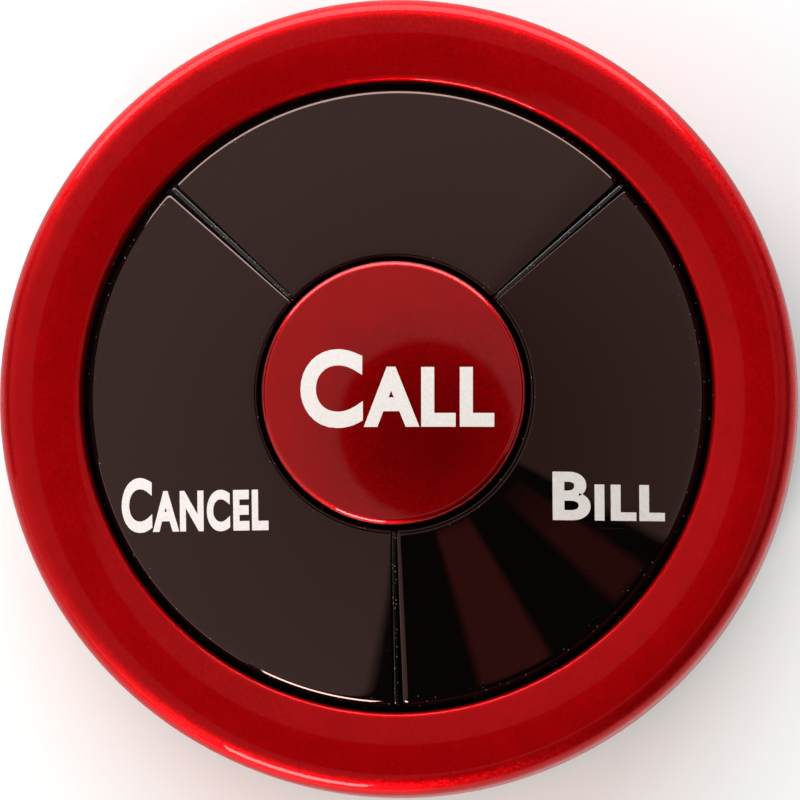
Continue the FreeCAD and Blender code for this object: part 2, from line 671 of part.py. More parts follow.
def base_cover():
    """Base: floor with a door opening, battery well, spigot, screw seats, foot groove."""
    opening = door_radius + door_gap
    spigot_inner = spigot_outer_radius - spigot_thickness
    well_top_z = board_bottom_z - close_gap
    body = ring_body("base_cover", [
        (opening, base_bottom_z),
        (base_radius - base_bevel, base_bottom_z),
        (base_radius, base_bottom_z + base_bevel),
        (base_radius, base_edge_z),
        (spigot_outer_radius, base_edge_z),
        (spigot_outer_radius, floor_z + spigot_height),
        (spigot_inner, floor_z + spigot_height),
        (spigot_inner, floor_z),
        (well_outer_radius, floor_z),
        (well_outer_radius, well_top_z),
        (well_inner_radius, well_top_z),
        (well_inner_radius, floor_z),
        (opening, floor_z)])
    groove(body, outline(new_sketch(body, "FootGroove", "XZ_Plane"), [
        (foot_inner_radius - close_gap, base_bottom_z - foot_depth),
        (foot_outer_radius + close_gap, base_bottom_z - foot_depth),
        (foot_outer_radius + close_gap, base_bottom_z + foot_depth),
        (foot_inner_radius - close_gap, base_bottom_z + foot_depth)]))
    x, y = around(screw_circle, screw_angle)
    room = pocket(body, circle(new_sketch(body, "BossRoom", height=boss_seat_z), x, y,
                               screw_boss_radius + close_gap * 2), upwards=True)
    mid_floor_z = base_bottom_z + base_floor / 2
    seat = pad(body, circle(new_sketch(body, "Seat", height=mid_floor_z), x, y,
                            spigot_outer_radius - screw_circle), boss_seat_z - mid_floor_z)
    sink = pocket(body, circle(new_sketch(body, "HeadSink", height=base_bottom_z), x, y,
                               screw_head_radius + close_gap),
                  screw_sink + screw_head_height, upwards=True)
    hole = pocket(body, circle(new_sketch(body, "ScrewHole", height=base_bottom_z), x, y,
                               screw_shank_radius + close_gap * 2), upwards=True)
    spread(body, [room, seat, sink, hole], screw_count)
    mouth = new_sketch(body, "LugMouth", height=base_bottom_z, turn=-door_turn)
    fan(mouth, door_radius - lug_reach, lug_radius + door_gap, lug_angle + mouth_slack)
    mouths = pocket(body, mouth, base_floor, upwards=True)
    stop = new_sketch(body, "Stop", height=floor_z,
                      turn=(lug_angle + stop_angle) / 2 + stop_slack)
    fan(stop, opening, well_inner_radius + close_gap, stop_angle)
    stops = pad(body, stop, lug_thickness + close_gap)
    spread(body, [mouths, stops], lug_count)
    return keep(body)


def anti_slip_ring():
    """Silicone ring that the transmitter stands on, let into the base."""
    top_z = base_bottom_z + foot_depth
    return keep(ring_body("anti_slip_ring", [
        (foot_inner_radius + foot_bevel, 0.0),
        (foot_outer_radius - foot_bevel, 0.0),
        (foot_outer_radius, foot_bevel),
        (foot_outer_radius, top_z),
        (foot_inner_radius, top_z),
        (foot_inner_radius, foot_bevel)]))


def battery_door():
    """Coin-turned door: disc with a slot, collar with three lugs, ribs under the cell."""
    collar_outer = door_radius - close_gap
    body = ring_body("battery_door", [
        (0.0, base_bottom_z),
        (door_radius - door_bevel, base_bottom_z),
        (door_radius, base_bottom_z + door_bevel),
        (door_radius, floor_z),
        (collar_outer, floor_z),
        (collar_outer, collar_top_z),
        (collar_outer - door_collar, collar_top_z),
        (collar_outer - door_collar, floor_z),
        (0.0, floor_z)])
    slot = new_sketch(body, "CoinSlot", height=base_bottom_z, turn=door_turn)
    rectangle(slot, 0.0, 0.0, coin_slot_length, coin_slot_width,
              coin_slot_width / 2 - fine_gap)
    pocket(body, slot, coin_slot_depth, upwards=True)
    lug = new_sketch(body, "Lug", height=floor_z + close_gap)
    lugs = pad(body, fan(lug, collar_outer - door_collar / 2, lug_radius, lug_angle),
               lug_thickness)
    rib = new_sketch(body, "CellRib", height=floor_z)
    ribs = pad(body, rectangle(rib, cell_radius / 2, 0.0, cell_rib_length, cell_rib_width),
               cell_lift)
    spread(body, [lugs, ribs], lug_count)
    return keep(body)


# ---------------------------------------------------------------- screws

def group(label, pieces):
    """Several like solids that share one node."""
    compound = doc.addObject("Part::Compound", label)
    compound.Label = label
    compound.Links = pieces
    return keep(compound)


def screw(name, head_radius, head_height, shank_radius, length):
    """Pan-head screw standing on its head at the origin, with a cross recess."""
    body = ring_body(name, [
        (0.0, 0.0),
        (head_radius - head_crown, 0.0),
        (head_radius, head_crown),
        (head_radius, head_height),
        (shank_radius, head_height),
        (shank_radius, head_height + length - screw_tip),
        (shank_radius - screw_tip, head_height + length),
        (0.0, head_height + length)])
    for turn in (0, 90):
        cross = new_sketch(body, "Cross", turn=turn)
        rectangle(cross, 0.0, 0.0, cross_length, cross_width)
        body.Tip = pocket(body, cross, cross_depth, upwards=True)
    return body


def screw_group(label, circle_radius, first_angle, seat_z, sizes):
    """The screws of one circle, pointing up, their heads under `seat_z`."""
    screws = []
    for number in range(screw_count):
        x, y = around(circle_radius, first_angle + 360.0 / screw_count * number)
        screws.append(place(screw(f"{label}_{number + 1}", *sizes), x, y, seat_z - sizes[1]))
    return group(label, screws)


def case_screws():
    """Three self-tapping screws that hold the base to the housing."""
    seat_z = base_bottom_z + screw_sink + screw_head_height
    length = screw_web + screw_reach - close_gap
    return screw_group("case_screws", screw_circle, screw_angle, seat_z,
                       (screw_head_radius, screw_head_height, screw_shank_radius, length))


def board_screws():
    """Three screws that hold the board to the posts of the chassis."""
    length = board_thickness + chassis_gap + chassis_thickness - close_gap * 2
    return screw_group("board_screws", board_screw_circle, board_screw_angle, board_bottom_z,
                       (board_screw_head, board_screw_head_height, board_screw_shank, length))


# ---------------------------------------------------------------- chassis and board

def on_divider(point):
    """Whether a point lies on a long top edge of a divider, beside a groove's middle."""
    reach = math.hypot(point.x, point.y)
    if not sector_inner_radius.value + ON_FACE < reach < sector_outer_radius.value - ON_FACE:
        return False
    return point.z > chassis_top_z.value + divider_sink.value + ON_FACE


def divider(body, angle):
    """Thin rib that stands up from the chassis between two sectors and follows their top."""
    section = upright_sketch(body, "Divider", angle)
    outline(section, [
        (sector_inner_radius, chassis_bottom_z),
        (sector_inner_radius, sector_inner_z - divider_sink, sector_inner_round),
        (sector_middle_radius, sector_middle_z - divider_sink, sector_dome_round),
        (sector_outer_radius, sector_outer_z - divider_sink, sector_outer_round),
        (sector_outer_radius, chassis_bottom_z)])
    return pad(body, section, divider_width, both_ways=True)


def key_frame():
    """Chassis under the keys: hook slots, switch openings, dividers, posts for the board."""
    edge = inner_radius - chassis_rim_gap
    body = ring_body("key_frame", [
        (0.0, chassis_bottom_z), (edge, chassis_bottom_z),
        (edge, chassis_top_z), (0.0, chassis_top_z)])
    rib = new_sketch(body, "Rib", height=chassis_bottom_z)
    circle(rib, 0.0, 0.0, rib_radius)
    circle(rib, 0.0, 0.0, rib_radius - rib_width)
    pad(body, rib, rib_depth, downwards=True)
    x, y = around(screw_circle, screw_angle)
    notch = pocket(body, circle(new_sketch(body, "BossNotch", height=chassis_top_z), x, y,
                                screw_boss_radius + close_gap * 2))
    x, y = around(board_screw_circle, board_screw_angle)
    post = pad(body, circle(new_sketch(body, "Post", height=chassis_bottom_z), x, y,
                            post_radius), chassis_gap, downwards=True)
    hole = pocket(body, circle(new_sketch(body, "PostHole", height=chassis_top_z), x, y,
                               board_screw_shank + pin_clearance / 2))
    spread(body, [notch, post, hole], screw_count)
    x, y = around(stake_circle, screw_angle + stake_offset)
    stake = pocket(body, circle(new_sketch(body, "StakeHole", height=chassis_top_z), x, y,
                                stake_radius + pin_clearance))
    spread(body, [stake], stake_count)
    slot = new_sketch(body, "CallHookSlot", height=chassis_top_z, turn=call_hook_angle)
    rectangle(slot, call_hook_outer + hook_room - hook_slot_depth / 2, 0.0,
              hook_slot_depth, hook_width + hook_room * 2)
    spread(body, [pocket(body, slot)], call_hook_count)
    for middle, aside in sector_hooks:
        for turn in (middle - aside, middle + aside):
            slot = new_sketch(body, "HookSlot", height=chassis_top_z, turn=turn)
            rectangle(slot, sector_hook_inner - hook_room + hook_slot_depth / 2, 0.0,
                      hook_slot_depth, hook_width + hook_room * 2)
            pocket(body, slot)
    opening = switch_width + switch_room * 2
    for x, y in switch_places():
        window = new_sketch(body, "SwitchWindow", height=chassis_top_z)
        pocket(body, rectangle(window, x, y, opening, opening))
    lamp = new_sketch(body, "LampWindow", height=chassis_top_z)
    rectangle(lamp, 0.0, -lamp_distance, lamp_length + close_gap * 2,
              lamp_width + close_gap * 2)
    pocket(body, lamp)
    for angle in groove_angles:
        last = divider(body, angle)
    body.Tip = soften(body, "Fillet", last, divider_round, on_divider)
    return keep(body)


def circuit_board():
    """Round board: notches for the housing bosses, holes for its screws and the holder."""
    body = ring_body("circuit_board", [
        (0.0, board_bottom_z), (board_radius, board_bottom_z),
        (board_radius, board_top_z), (0.0, board_top_z)])
    x, y = around(screw_circle, screw_angle)
    notch = pocket(body, circle(new_sketch(body, "BossNotch", height=board_top_z), x, y,
                                screw_boss_radius + close_gap * 3))
    x, y = around(board_screw_circle, board_screw_angle)
    hole = pocket(body, circle(new_sketch(body, "ScrewHole", height=board_top_z), x, y,
                               board_screw_shank + close_gap))
    spread(body, [notch, hole], screw_count)
    peg = circle(new_sketch(body, "PegHole", height=board_top_z), 0.0, holder_pin_circle,
                 holder_pin_radius + pin_clearance)
    spread(body, [pocket(body, peg)], holder_pin_count)
    return keep(body)


# ---------------------------------------------------------------- battery

def battery_holder():
    """Ring round the cell with a notch for the positive contact and two pins."""
    bottom_z = collar_top_z + holder_gap
    body = ring_body("battery_holder", [
        (holder_inner, bottom_z), (holder_outer, bottom_z),
        (holder_outer, board_bottom_z), (holder_inner, board_bottom_z)])
    notch = new_sketch(body, "ContactNotch", height=bottom_z)
    rectangle(notch, holder_pin_circle, 0.0, holder_wall * 2, contact_width + holder_gap * 2)
    pocket(body, notch, upwards=True)
    peg = circle(new_sketch(body, "Peg", height=board_bottom_z), 0.0, holder_pin_circle,
                 holder_pin_radius)
    spread(body, [pad(body, peg, board_thickness)], holder_pin_count)
    return keep(body)


def positive_contact():
    """Spring leaf on the side of the cell with a foot soldered to the board."""
    body = new_body("battery_positive_contact")
    leaf = cell_radius + fine_gap
    section = new_sketch(body, "Section", "XZ_Plane")
    outline(section, [
        (leaf, cell_bottom_z + contact_start),
        (leaf + contact_thickness, cell_bottom_z + contact_start),
        (leaf + contact_thickness, board_bottom_z - contact_thickness),
        (leaf + contact_foot, board_bottom_z - contact_thickness),
        (leaf + contact_foot, board_bottom_z),
        (leaf, board_bottom_z, contact_bend)])
    pad(body, section, contact_width, both_ways=True)
    return keep(body)


def negative_contact():
    """Bowed strip between the negative cap of the cell and the board."""
    body = new_body("battery_negative_contact")
    end, knee = negative_length / 2, negative_flat / 2
    thick = negative_thickness
    low = cell_top_z + fine_gap
    section = new_sketch(body, "Section", "XZ_Plane")
    outline(section, [
        (-end, board_bottom_z - thick), (-knee, low), (knee, low),
        (end, board_bottom_z - thick), (end, board_bottom_z),
        (knee, low + thick), (-knee, low + thick), (-end, board_bottom_z)])
    pad(body, section, negative_width, both_ways=True)
    return keep(body)


def coin_cell():
    """Coin cell in its three pieces: can, seal and cap."""
    rim_z_of_can = cell_top_z - cell_cap_proud
    seat_z = cell_top_z - cell_cap_depth
    seal_outer = cell_cap_radius + cell_seal
    keep(ring_body("coin_cell_can", [
        (0.0, cell_bottom_z),
        (cell_radius - cell_bevel, cell_bottom_z),
        (cell_radius, cell_bottom_z + cell_bevel),
        (cell_radius, rim_z_of_can - cell_bevel),
        (cell_radius - cell_bevel, rim_z_of_can),
        (seal_outer + fine_gap, rim_z_of_can),
        (seal_outer + fine_gap, seat_z),
        (0.0, seat_z)]))
    keep(ring_body("coin_cell_seal", [
        (cell_cap_radius + fine_gap, seat_z), (seal_outer, seat_z),
        (seal_outer, rim_z_of_can), (cell_cap_radius + fine_gap, rim_z_of_can)]))
    keep(ring_body("coin_cell_cap", [
        (0.0, seat_z), (cell_cap_radius, seat_z),
        (cell_cap_radius, cell_top_z - cell_bevel),
        (cell_cap_radius - cell_bevel, cell_top_z), (0.0, cell_top_z)]))


# ---------------------------------------------------------------- parts on the board

def leg(name, side, reach, rise, width, offset):
    """A gull-wing leg in side view: up (or down, for a negative rise) the side of its part."""
    body = new_body(name)
    thick = terminal_thickness
    sole = thick if rise.value > 0 else -thick
    bend = new_sketch(body, "Bend", "XZ_Plane", height=offset)
    outline(bend, [(side, 0.0), (side + reach, 0.0), (side + reach, sole),
                   (side + thick, sole), (side + thick, rise), (side, rise)])
    pad(body, bend, width, both_ways=True)
    return body


def loop_antenna():
    """Wire bent to an arc under the edge of the board, with a leg up at each end."""
    body = new_body("loop_antenna")
    wire_z = -antenna_drop
    wire = circle(new_sketch(body, "Wire", "XZ_Plane"), ring_of_parts, wire_z, antenna_wire)
    revolve(body, wire, antenna_span)
    for half in (antenna_span / 2, -antenna_span / 2):
        x, y = around(ring_of_parts, half)
        foot = circle(new_sketch(body, "Leg", height=wire_z), x, y, antenna_wire)
        body.Tip = pad(body, foot, antenna_drop)
    return keep(place(body, z=board_bottom_z, turn=antenna_angle))


def encoder_chip():
    """Encoder in a plastic body, with its eight legs as a node of their own."""
    body = new_body("encoder_chip")
    block = rectangle(new_sketch(body, "Block"), 0.0, 0.0, encoder_length, encoder_width)
    lower = pad(body, block, encoder_height, downwards=True)
    body.Tip = soften(body, "Chamfer", lower, encoder_bevel,
                      lambda point: abs(point.z + encoder_height.value) < ON_FACE)
    keep(place(body, 0.0, -ring_of_parts, board_bottom_z - close_gap))
    legs = []
    for number in range(encoder_legs_a_side):
        offset = encoder_pitch * (number - (encoder_legs_a_side - 1) / 2)
        for turn in (90, 270):
            piece = leg(f"encoder_leg_{turn}_{number + 1}", encoder_width / 2,
                        terminal_reach, -encoder_leg_rise, encoder_leg, offset)
            legs.append(place(piece, 0.0, -ring_of_parts, board_bottom_z, turn))
    group("encoder_chip_legs", legs)


def resonator():
    """Oval metal can with a flange at the board."""
    body = new_body("resonator")
    flange_length = resonator_length + resonator_flange * 2
    flange_width = resonator_width + resonator_flange * 2
    flange = rectangle(new_sketch(body, "Flange"), 0.0, 0.0, flange_length, flange_width,
                       flange_width / 2 - fine_gap)
    pad(body, flange, resonator_flange, downwards=True)
    can = rectangle(new_sketch(body, "Can"), 0.0, 0.0, resonator_length, resonator_width,
                    resonator_width / 2 - fine_gap)
    lid = pad(body, can, resonator_height, downwards=True)
    body.Tip = soften(body, "Chamfer", lid, resonator_flange,
                      lambda point: abs(point.z + resonator_height.value) < ON_FACE)
    x, y = around(ring_of_parts, resonator_angle)
    return keep(place(body, x, y, board_bottom_z, resonator_angle + 90.0))


def rf_transistor():
    """Small plastic transistor with one leg on one side and two on the other."""
    body = new_body("rf_transistor")
    block = rectangle(new_sketch(body, "Block", height=-close_gap), 0.0, 0.0,
                      transistor_length, transistor_width)
    pad(body, block, transistor_height - close_gap, downwards=True)
    feet = new_sketch(body, "Feet")
    for x, side in ((on_axis, 1), (transistor_pitch, -1), (-transistor_pitch, -1)):
        rectangle(feet, x, side * (transistor_width / 2 + encoder_leg / 2), encoder_leg,
                  encoder_leg * 2)
    body.Tip = pad(body, feet, transistor_leg_height, downwards=True)
    x, y = around(ring_of_parts, transistor_angle)
    return keep(place(body, x, y, board_bottom_z, transistor_angle + 90.0))


def chips(label, height, first_angle):
    """Two rows of small chips of one kind, side by side under the board."""
    pieces = []
    for number in range(chips_in_a_row):
        for row, side in enumerate((-1.5, 0.5), 1):
            block = doc.addObject("Part::Box", f"{label}_{number + 1}_{row}")
            block.setExpression("Length", chip_length.text)
            block.setExpression("Width", chip_width.text)
            block.setExpression("Height", height.text)
            angle = first_angle + chip_spacing * number
            x, y = around(ring_of_parts + chip_length * side, angle)
            pieces.append(place(block, x, y, board_bottom_z - height, angle))
    group(label, pieces)


def indicator_lamp():
    """Small lamp on the board under the call key, with a low round lens."""
    body = new_body("indicator_lamp")
    pad(body, rectangle(new_sketch(body, "Base"), 0.0, 0.0, lamp_length, lamp_width),
        lamp_height)
    lens = circle(new_sketch(body, "Lens", height=lamp_height), 0.0, 0.0, lens_radius)
    body.Tip = pad(body, lens, lens_height)
    return keep(place(body, 0.0, -lamp_distance, board_top_z))


# ---------------------------------------------------------------- tact switches

def switch_places():
    """(x, y) of the call, bill and cancel switches."""
    return [(on_axis, on_axis), around(side_switch_radius, bill_angle),
            around(side_switch_radius, cancel_angle)]


def switch_base(name, x, y):
    """Moulded base with cut corners and a round well for the dome."""
    body = new_body(f"{name}_switch_base")
    half = switch_width / 2
    block = pad(body, rectangle(new_sketch(body, "Block"), 0.0, 0.0, switch_width,
                                switch_width), switch_base_height)
    soften(body, "Chamfer", block, switch_corner,
           lambda point: abs(abs(point.x) - half.value) < ON_FACE
           and abs(abs(point.y) - half.value) < ON_FACE)
    well = circle(new_sketch(body, "Well", height=switch_base_height), 0.0, 0.0,
                  switch_well_radius)
    body.Tip = pocket(body, well, switch_well_depth)
    return keep(place(body, x, y, board_top_z))


def switch_cover(name, x, y):
    """Steel cover with a hole for the plunger and two tabs down the sides."""
    body = new_body(f"{name}_switch_cover")
    plate = new_sketch(body, "Plate", height=switch_base_height)
    pad(body, rectangle(plate, 0.0, 0.0, switch_width, switch_width, cover_corner),
        switch_cover_thickness)
    tab_reach = terminal_thickness + fine_gap
    strap = new_sketch(body, "Strap", height=switch_base_height)
    pad(body, rectangle(strap, 0.0, 0.0, cover_tab_width, switch_width + tab_reach * 2),
        switch_cover_thickness)
    tabs = new_sketch(body, "Tabs", height=switch_base_height + switch_cover_thickness)
    for side in (-1, 1):
        offset = side * (switch_width / 2 + fine_gap + terminal_thickness / 2)
        rectangle(tabs, 0.0, offset, cover_tab_width, terminal_thickness)
    pad(body, tabs, cover_tab_length, downwards=True)
    hole = new_sketch(body, "Hole", height=switch_base_height + switch_cover_thickness)
    body.Tip = pocket(body, circle(hole, 0.0, 0.0, plunger_radius + plunger_fit))
    return keep(place(body, x, y, board_top_z))


def switch_plunger(name, x, y):
    """Round plunger with a step that stays under the cover."""
    step_top = switch_base_height - fine_gap
    step_bottom = step_top - plunger_flange_height
    body = ring_body(f"{name}_switch_plunger", [
        (0.0, step_bottom),
        (plunger_radius + plunger_flange, step_bottom),
        (plunger_radius + plunger_flange, step_top),
        (plunger_radius, step_top),
        (plunger_radius, switch_height - plunger_bevel),
        (plunger_radius - plunger_bevel, switch_height),
        (0.0, switch_height)])
    return keep(place(body, x, y, board_top_z))


def switch_dome(name, x, y):
    """Snap dome: a thin steel cap on the floor of the well."""
    floor = switch_base_height - switch_well_depth
    edge = switch_well_radius - close_gap
    under = floor + dome_height - dome_thickness
    body = ring_body(f"{name}_switch_dome", [
        (0.0, under), (dome_flat, under), (edge, floor), (edge, floor + dome_thickness),
        (dome_flat, floor + dome_height), (0.0, floor + dome_height)])
    return keep(place(body, x, y, board_top_z))


def switch_terminals(name, x, y):
    """Four gull-wing legs of a switch, soldered to the board."""
    legs = []
    for number, (turn, side) in enumerate(((0, 1), (0, -1), (180, 1), (180, -1)), 1):
        piece = leg(f"{name}_terminal_{number}", switch_width / 2 + fine_gap, terminal_reach,
                    terminal_rise, terminal_width, side * terminal_pitch / 2)
        legs.append(place(piece, x, y, board_top_z, turn))
    return group(f"{name}_switch_terminals", legs)


def tact_switches():
    """The three switches, each as its separate pieces."""
    for name, (x, y) in zip(("call", "bill", "cancel"), switch_places()):
        for make in (switch_base, switch_cover, switch_plunger, switch_dome,
                     switch_terminals):
            make(name, x, y)


# ---------------------------------------------------------------- keys

def snap_hook(body, back, towards, seat_z, turn):
    """A snap hook in side view: leg down through the chassis, barb under it."""
    front = back + hook_thickness * towards
    barb = front + hook_barb * towards
    barb_top = chassis_bottom_z - fine_gap
    barb_bottom = barb_top - hook_barb_height
    root_z = seat_z + hook_thickness
    section = upright_sketch(body, "Hook", turn)
    outline(section, [(back, root_z), (front, root_z), (front, barb_top), (barb, barb_top),
                      (front + hook_nose * towards, barb_bottom), (back, barb_bottom)])
    return pad(body, section, hook_width, both_ways=True)


def call_key():
    """Red round key: domed cap, skirt, cross webs, stem and three snap hooks."""
    under_z = key_crown_z - key_wall
    inner = key_radius - key_wall
    web_top_z = under_z - key_dome
    body = ring_body("call_key", [
        (0.0, key_crown_z),
        (key_radius / 2, key_crown_z, key_dome_round),
        (key_radius, key_edge_z, key_edge_round),
        (key_radius, key_bottom_z),
        (inner, key_bottom_z),
        (inner, web_top_z),
        (0.0, under_z)])
    stem = new_sketch(body, "Stem", height=plunger_top_z + fine_gap)
    pad(body, circle(stem, 0.0, 0.0, stem_radius), under_z - key_dome / 2 - plunger_top_z)
    for turn in (0, 90):
        web = new_sketch(body, "Web", height=web_top_z - web_depth, turn=turn + web_angle)
        pad(body, rectangle(web, 0.0, 0.0, inner * 2 + key_wall, web_width),
            web_depth + key_dome / 4)
    hook = snap_hook(body, call_hook_outer, -1, key_bottom_z, 0)
    spread(body, [hook], call_hook_count)
    return keep(place(body, turn=call_hook_angle))


def sector_section(inset, bottom_z, inner_round, middle_round, outer_round):
    """Half section of a sector, or of its hollow where `inset` is the wall."""
    slope = sector_rise / (sector_outer_radius - sector_inner_radius)
    drop = inset * root(slope * slope + 1.0)
    inner, outer = sector_inner_radius + inset, sector_outer_radius - inset
    return [(inner, bottom_z),
            (inner, sector_inner_z - drop - slope * inset) + inner_round,
            (sector_middle_radius, sector_middle_z - drop) + middle_round,
            (outer, sector_outer_z - drop + slope * inset) + outer_round,
            (outer, bottom_z)]


def wedge_pocket(body, span, inset):
    """Cut away all that lies outside a wedge about +X with faces set in by `inset`."""
    half_cos, half_sin = cos(span / 2), sin(span / 2)
    tip = inset / half_sin
    far = case_radius * 2
    sketch = outline(new_sketch(body, "Wedge"), [
        (tip, 0.0),
        (tip + far * half_cos, far * half_sin),
        (-far, far * half_sin),
        (-far, -(far * half_sin)),
        (tip + far * half_cos, -(far * half_sin))])
    return pocket(body, sketch, upwards=True)


def on_groove(span, bottom_z):
    """Test for points on the two groove faces of a sector, above its bottom edges."""
    half = math.radians(span.value / 2)

    def test(point):
        depth = point.x * math.sin(half) - abs(point.y) * math.cos(half)
        face = abs(depth - groove_width.value / 2) < ON_FACE
        return face and point.z > bottom_z.value + ON_FACE
    return test


def sector(label, middle, span, hook_aside, bottom_z, presses):
    """Hollow sector with a flange under the ring's lip and two snap hooks."""
    hollow = new_body(f"{label}_hollow")
    section = new_sketch(hollow, "Section", "XZ_Plane")
    outline(section, sector_section(key_wall, chassis_bottom_z, (), (), ()))
    revolve(hollow, section)
    hollow.Tip = wedge_pocket(hollow, span, groove_width / 2 + key_wall)

    body = new_body(label)
    section = new_sketch(body, "Section", "XZ_Plane")
    outline(section, sector_section(on_axis, bottom_z, (sector_inner_round,),
                                    (sector_dome_round,), (sector_outer_round,)))
    revolve(body, section)
    wedge = wedge_pocket(body, span, groove_width / 2)
    soften(body, "Fillet", wedge, sector_side_round, on_groove(span, bottom_z))
    cut = body.newObject("PartDesign::Boolean", "Hollow")
    cut.setObjects([hollow])
    cut.Type = "Cut"
    body.Tip = cut
    root_radius = sector_outer_radius - key_wall / 2
    flange = new_sketch(body, "Flange", "XZ_Plane")
    outline(flange, [(root_radius, bottom_z),
                     (sector_outer_radius + flange_reach, bottom_z),
                     (sector_outer_radius + flange_reach, flange_top_z),
                     (root_radius, flange_top_z)])
    body.Tip = revolve(body, flange, span - flange_trim)
    for aside in (-hook_aside, hook_aside):
        body.Tip = snap_hook(body, sector_hook_inner, 1, bottom_z, aside)
    if presses:
        stem = new_sketch(body, "Stem", height=plunger_top_z + fine_gap)
        body.Tip = pad(body, circle(stem, side_switch_radius, 0.0, stem_radius),
                       sector_middle_z - key_wall - plunger_top_z)
    return keep(place(body, turn=middle))


# ---------------------------------------------------------------- write out

def all_sound():
    """Stop if any object of the document failed or any sub-part is not a valid solid."""
    for thing in doc.Objects:
        for state in thing.State:
            if state in ("Invalid", "Error"):
                raise RuntimeError(f"{thing.Label}: {state}")
    for part in sub_parts:
        if part.Shape.isNull() or not part.Shape.isValid() or not part.Shape.Solids:
            raise RuntimeError(f"{part.Label}: no valid solid")


top_housing()
base_cover()
anti_slip_ring()
battery_door()
case_screws()
key_frame()
circuit_board()
board_screws()
battery_holder()
positive_contact()
negative_contact()
coin_cell()
tact_switches()
loop_antenna()
encoder_chip()
resonator()
rf_transistor()
chips("chip_capacitors", capacitor_height, capacitor_angle)
chips("chip_resistors", resistor_height, resistor_angle)
indicator_lamp()
call_key()
sector("bill_key", bill_angle, bill_span, side_hook_angle, key_bottom_z, True)
sector("cancel_key", cancel_angle, cancel_span, side_hook_angle, key_bottom_z, True)
sector("blank_sector", blank_angle, blank_span, blank_hook_angle, chassis_top_z, False)
doc.recompute()
all_sound()
os.makedirs(PARTS_FOLDER, exist_ok=True)
for part in sub_parts:
    part.Shape.exportStep(os.path.join(PARTS_FOLDER, f"{part.Label}.step"))
    print(f"{part.Label}: {len(part.Shape.Solids)} solids, {part.Shape.Volume:.2f} mm3")
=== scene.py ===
"""Table call transmitter: looks of the red ring, the call key, the black sector keys, the
printed words and the underside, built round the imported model.  Metres, +Z up, origin at the
middle of the face that rests on the table."""

import math

import bmesh
import bpy
from bpy.props import (FloatProperty, FloatVectorProperty, IntProperty, PointerProperty,
                       StringProperty)
from bpy.types import Operator, Panel, PropertyGroup
from mathutils import Matrix, Vector
from mathutils.bvhtree import BVHTree


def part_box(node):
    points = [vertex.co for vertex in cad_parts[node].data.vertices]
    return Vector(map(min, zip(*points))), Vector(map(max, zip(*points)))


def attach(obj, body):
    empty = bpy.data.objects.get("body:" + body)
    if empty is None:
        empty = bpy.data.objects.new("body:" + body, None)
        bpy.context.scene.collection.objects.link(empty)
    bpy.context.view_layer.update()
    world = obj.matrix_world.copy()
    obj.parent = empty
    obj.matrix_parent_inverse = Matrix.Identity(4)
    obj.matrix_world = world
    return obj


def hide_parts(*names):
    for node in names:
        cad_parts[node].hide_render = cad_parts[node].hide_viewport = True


bl_info = {
    "name": "Table call transmitter",
    "version": (1, 0, 0),
    "blender": (4, 5, 0),
    "location": "View3D > Sidebar > Call transmitter",
    "description": "Builds the ring, keys, prints and underside of a table call transmitter",
    "category": "Add Mesh",
}

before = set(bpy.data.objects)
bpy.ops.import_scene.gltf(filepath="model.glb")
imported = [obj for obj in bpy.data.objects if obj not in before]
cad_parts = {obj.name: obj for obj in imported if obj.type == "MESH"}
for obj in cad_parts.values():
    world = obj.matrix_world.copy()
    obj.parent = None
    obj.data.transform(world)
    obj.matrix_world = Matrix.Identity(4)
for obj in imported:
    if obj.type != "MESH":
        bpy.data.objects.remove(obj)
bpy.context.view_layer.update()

MM = 0.001
AXIS = Vector((0, 0, 1))
FULL_TURN = 2 * math.pi


# ---------------------------------------------------------------- values a user would change

def length(name, description, millimetres):
    """A length property with its default in millimetres."""
    return FloatProperty(name=name, description=description, default=millimetres * MM,
                         min=0.0, precision=5, subtype="DISTANCE", unit="LENGTH")


def turn(name, description, degrees):
    """An angle property with its default in degrees."""
    return FloatProperty(name=name, description=description, default=math.radians(degrees),
                         subtype="ANGLE", unit="ROTATION")


def linear(code):
    """Linear colour of an sRGB hex value."""
    shares = [int(code[at:at + 2], 16) / 255 for at in (0, 2, 4)]
    return [share / 12.92 if share <= 0.04045 else ((share + 0.055) / 1.055) ** 2.4
            for share in shares]


def colour(name, description, code):
    """A colour property with its default as an sRGB hex value."""
    return FloatVectorProperty(name=name, description=description, default=linear(code),
                               min=0.0, max=1.0, size=3, subtype="COLOR")


def fraction(name, description, part):
    """A property for a part of a whole."""
    return FloatProperty(name=name, description=description, default=part, min=0.0, max=1.0,
                         precision=3, subtype="FACTOR")


def spot(name, description, along, across):
    """A place seen from above, with its default in millimetres along X and Y."""
    return FloatVectorProperty(name=name, description=description, size=2, precision=5,
                               default=(along * MM, across * MM), subtype="XYZ", unit="LENGTH")


def outer_radius(node):
    """Largest distance of a CAD node from the axis, in millimetres."""
    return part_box(node)[1].x / MM


def low(node):
    """Lowest height of a CAD node, in millimetres."""
    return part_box(node)[0].z / MM


def high(node):
    """Greatest height of a CAD node, in millimetres."""
    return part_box(node)[1].z / MM


